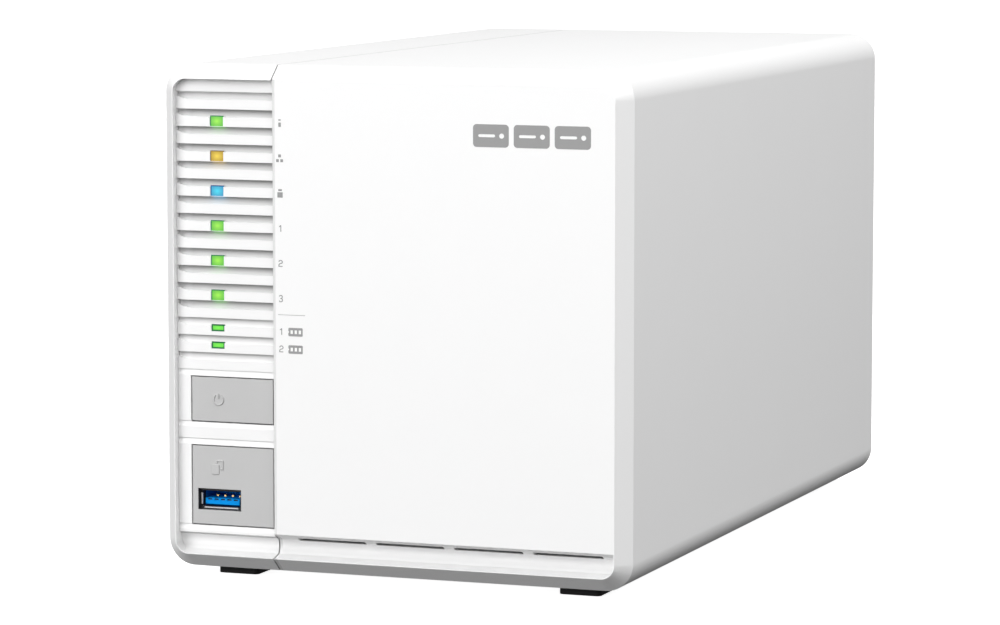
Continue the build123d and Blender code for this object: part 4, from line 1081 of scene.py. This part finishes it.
def tray_pieces(bay):
    """One tray with softened edges, grip bars between its vents, a latch, and its lever."""
    node, lever = f"tray_{bay}", f"tray_lever_{bay}"
    body = BODY_OF[node]
    x0, x1, _, _, z0, _ = span(node)
    front_y = span("cage_roof")[2]
    ease(node, 0.3, "moulding")
    bars = Form("front", (0, front_y, z0))
    for v in TRAY_BARS:
        bars.plate(rounded(x0 + TRAY_BAR_END, x1 - TRAY_BAR_END, v - 0.45, v + 0.45, 0.4), -0.2, 0.7, 0.3)
    add_form(f"tray_bars_{bay}", bars, "tray_black", body=body)
    x0, _, y0, y1, z0, z1 = span(lever)
    mid_z = (z0 + z1) / 2
    ease(lever, 0.5, "arm")
    ribs = Form("front", (0, y0 + (y1 - y0) * 0.2, mid_z))
    for index in range(LEVER_RIBS):
        u = x0 + LEVER_RIB_START + index * LEVER_RIB_PITCH
        ribs.plate(rounded(u - 0.5, u + 0.5, -4.5, 4.5, 0.45), -0.8, LEVER_FACE, 0.3)
    add_form(f"lever_ribs_{bay}", ribs, "lever_grey", body=BODY_OF[lever])
    latch = Form("front", (0, front_y, mid_z))
    far, near = LATCH
    latch.plate(rounded(x0 - far, x0 - near, -LATCH_HALF, LATCH_HALF, 1.2), -0.3, 3.2, 0.6)
    far, near = LATCH_RIB
    for v in centred(LATCH_RIBS, LATCH_RIB_PITCH):
        latch.plate(rounded(x0 - far, x0 - near, v - 0.4, v + 0.4, 0.35), 3.0, 3.7, 0.2)
    add_form(f"tray_latch_{bay}", latch, "lever_grey", body=body)
    ease(f"lever_pin_{bay}", 0.3, "rod")


def cage_pieces():
    """Cage sheets with broken edges and domed rivets along their folds."""
    for node in ("cage_floor", "cage_roof", "cage_left_wall", "cage_right_wall"):
        ease(node, 0.12, "sheet")
    x0, x1, y0, y1, _, top = span("cage_roof")
    rivets = Form("top", (0, 0, top))
    for u in (x0 + RIVET_SIDE, x1 - RIVET_SIDE):
        for v in spaced(y0 + RIVET_END, y1 - RIVET_END, RIVETS):
            rivets.turned(u, v, RIVET, 20)
    add_form("cage_rivets", rivets, "cage_steel")


# -------- circuit boards
EASED = (("main_board", 0.1), ("backplane", 0.1), ("led_board", 0.1), ("heat_sink", 0.15),
         ("processor", 0.15), ("memory_sockets", 0.3), ("memory_modules", 0.1), ("stick_sockets", 0.3),
         ("solid_state_sticks", 0.1), ("coin_cell", 0.3), ("cell_holder", 0.25), ("drive_sockets", 0.3),
         ("standoffs", 0.2), ("front_switches", 0.2), ("front_leds", 0.1), ("front_usb_shell", 0.06))
CHIPS = ((92, 52, 9, 9), (92, 24, 7, 6), (64, 50, 6, 8), (20, 44, 8, 8), (-6, 126, 7, 5),  # y, z, size
         (18, 128, 9, 9), (88, 112, 8, 8), (56, 26, 5, 6), (-80, 126, 6, 6))
CHIP_THICK, CHIP_LEGS = 1.1, 8
CANS = ((84, 66), (84, 78), (84, 90), (-96, 60), (-96, 72), (2, 40), (2, 52))  # y, z
CAN_FOOT = 4.3
CAN = ((3.9, 0.9), (4.0, 1.3), (3.7, 1.8), (4.0, 2.3), (4.0, 8.6), (3.6, 9.0))
SMALL_PARTS, SMALL_SIZES = 60, ((1.6, 0.8), (0.8, 1.6))
SMALL_Y, SMALL_Z = (-94, 61.8, 184), (18, 38.2, 116)  # start, step and span of an even scatter
KEPT_CLEAR = ((4, 76, 58, 126), (-92, -12, 16, 120))  # the heat sink and the memory
MEMORY_CHIPS, MEMORY_CHIP_END = 4, 8.5


def chip(form, u, v, width, height, thick):
    """A flat package with a chamfered top."""
    form.block(u - width / 2, u + width / 2, v - height / 2, v + height / 2, 0.0, thick, 0.15)


def chip_legs(form, u, v, width, height):
    """Rows of legs on two sides of a package."""
    for along in spaced(v - height / 2 + 0.5, v + height / 2 - 0.5, CHIP_LEGS):
        for side in (-1, 1):
            at = u + side * (width / 2 + 0.45)
            form.block(at - 0.5, at + 0.5, along - 0.15, along + 0.15, 0.0, 0.35, 0.05)


def main_board_pieces():
    """Packages with their legs, capacitors and the small parts scattered between them."""
    chips, legs, feet, cans, small = (on_board() for _ in range(5))
    for y, z, width, height in CHIPS:
        chip(chips, -y, z, width, height, CHIP_THICK)
        chip_legs(legs, -y, z, width, height)
    for y, z in CANS:
        cans.turned(-y, z, CAN, 28)
        feet.block(-y - CAN_FOOT, -y + CAN_FOOT, z - CAN_FOOT, z + CAN_FOOT, 0.0, CHIP_THICK, 0.3)
    for index in range(SMALL_PARTS):
        y, z = (start + (index * step) % reach for start, step, reach in (SMALL_Y, SMALL_Z))
        if not any(y0 < y < y1 and z0 < z < z1 for y0, y1, z0, z1 in KEPT_CLEAR):
            wide, tall = SMALL_SIZES[index % 2]
            small.block(-y - wide / 2, -y + wide / 2, z - tall / 2, z + tall / 2, 0.0, 0.55, 0.1)
    add_form("board_chips", chips, "chip_black")
    add_form("board_legs", legs, "pin_steel")
    add_form("capacitor_feet", feet, "socket_plastic")
    add_form("capacitor_cans", cans, "sink_metal")
    add_form("board_small_parts", small, "chip_black", "label_paper")


def board_pieces():
    """Boards, sockets and sticks with eased edges, and the parts soldered on them."""
    for node, width in EASED:
        ease(node, width)
    main_board_pieces()
    x0, _, y0, y1, z0, _ = span("memory_modules")
    memory = Form("left", (x0, 0, 0))
    for y in spaced(y0 + MEMORY_CHIP_END, y1 - MEMORY_CHIP_END, MEMORY_CHIPS):
        chip(memory, -y, z0 + 17, 9.0, 12.0, 0.9)
    add_form("memory_chips", memory, "chip_black")
    _, y, z = middle("coin_cell")
    clip = Form("left", (span("coin_cell")[0], 0, 0))
    clip.plate(stroke([(-y - 11.0, z), (-y - 4.0, z), (-y + 2.0, z)], 4.0), -0.1, 0.4, 0.12)
    add_form("cell_clip", clip, "pin_steel")


# -------- put together
def paint_frame():
    """Each CAD node gets its slot's finish, the slatted plate one with painted shade in its gaps."""
    for node, piece in NODES.items():
        finish = "louvre_white_painted_shade" if node == "louvre_frame" else SLOT_OF[node]
        piece.data.materials.clear()
        piece.data.materials.append(MATERIALS[finish])


make_materials()
add_studio()
paint_frame()
case_pieces()
foot_pieces()
printed_pieces()
button_pieces()
window_pieces()
front_usb_pieces()
fan_pieces()
screw_pieces()
rear_pieces()
for number in BAYS:
    drive_pieces(number)
    tray_pieces(number)
cage_pieces()
board_pieces()
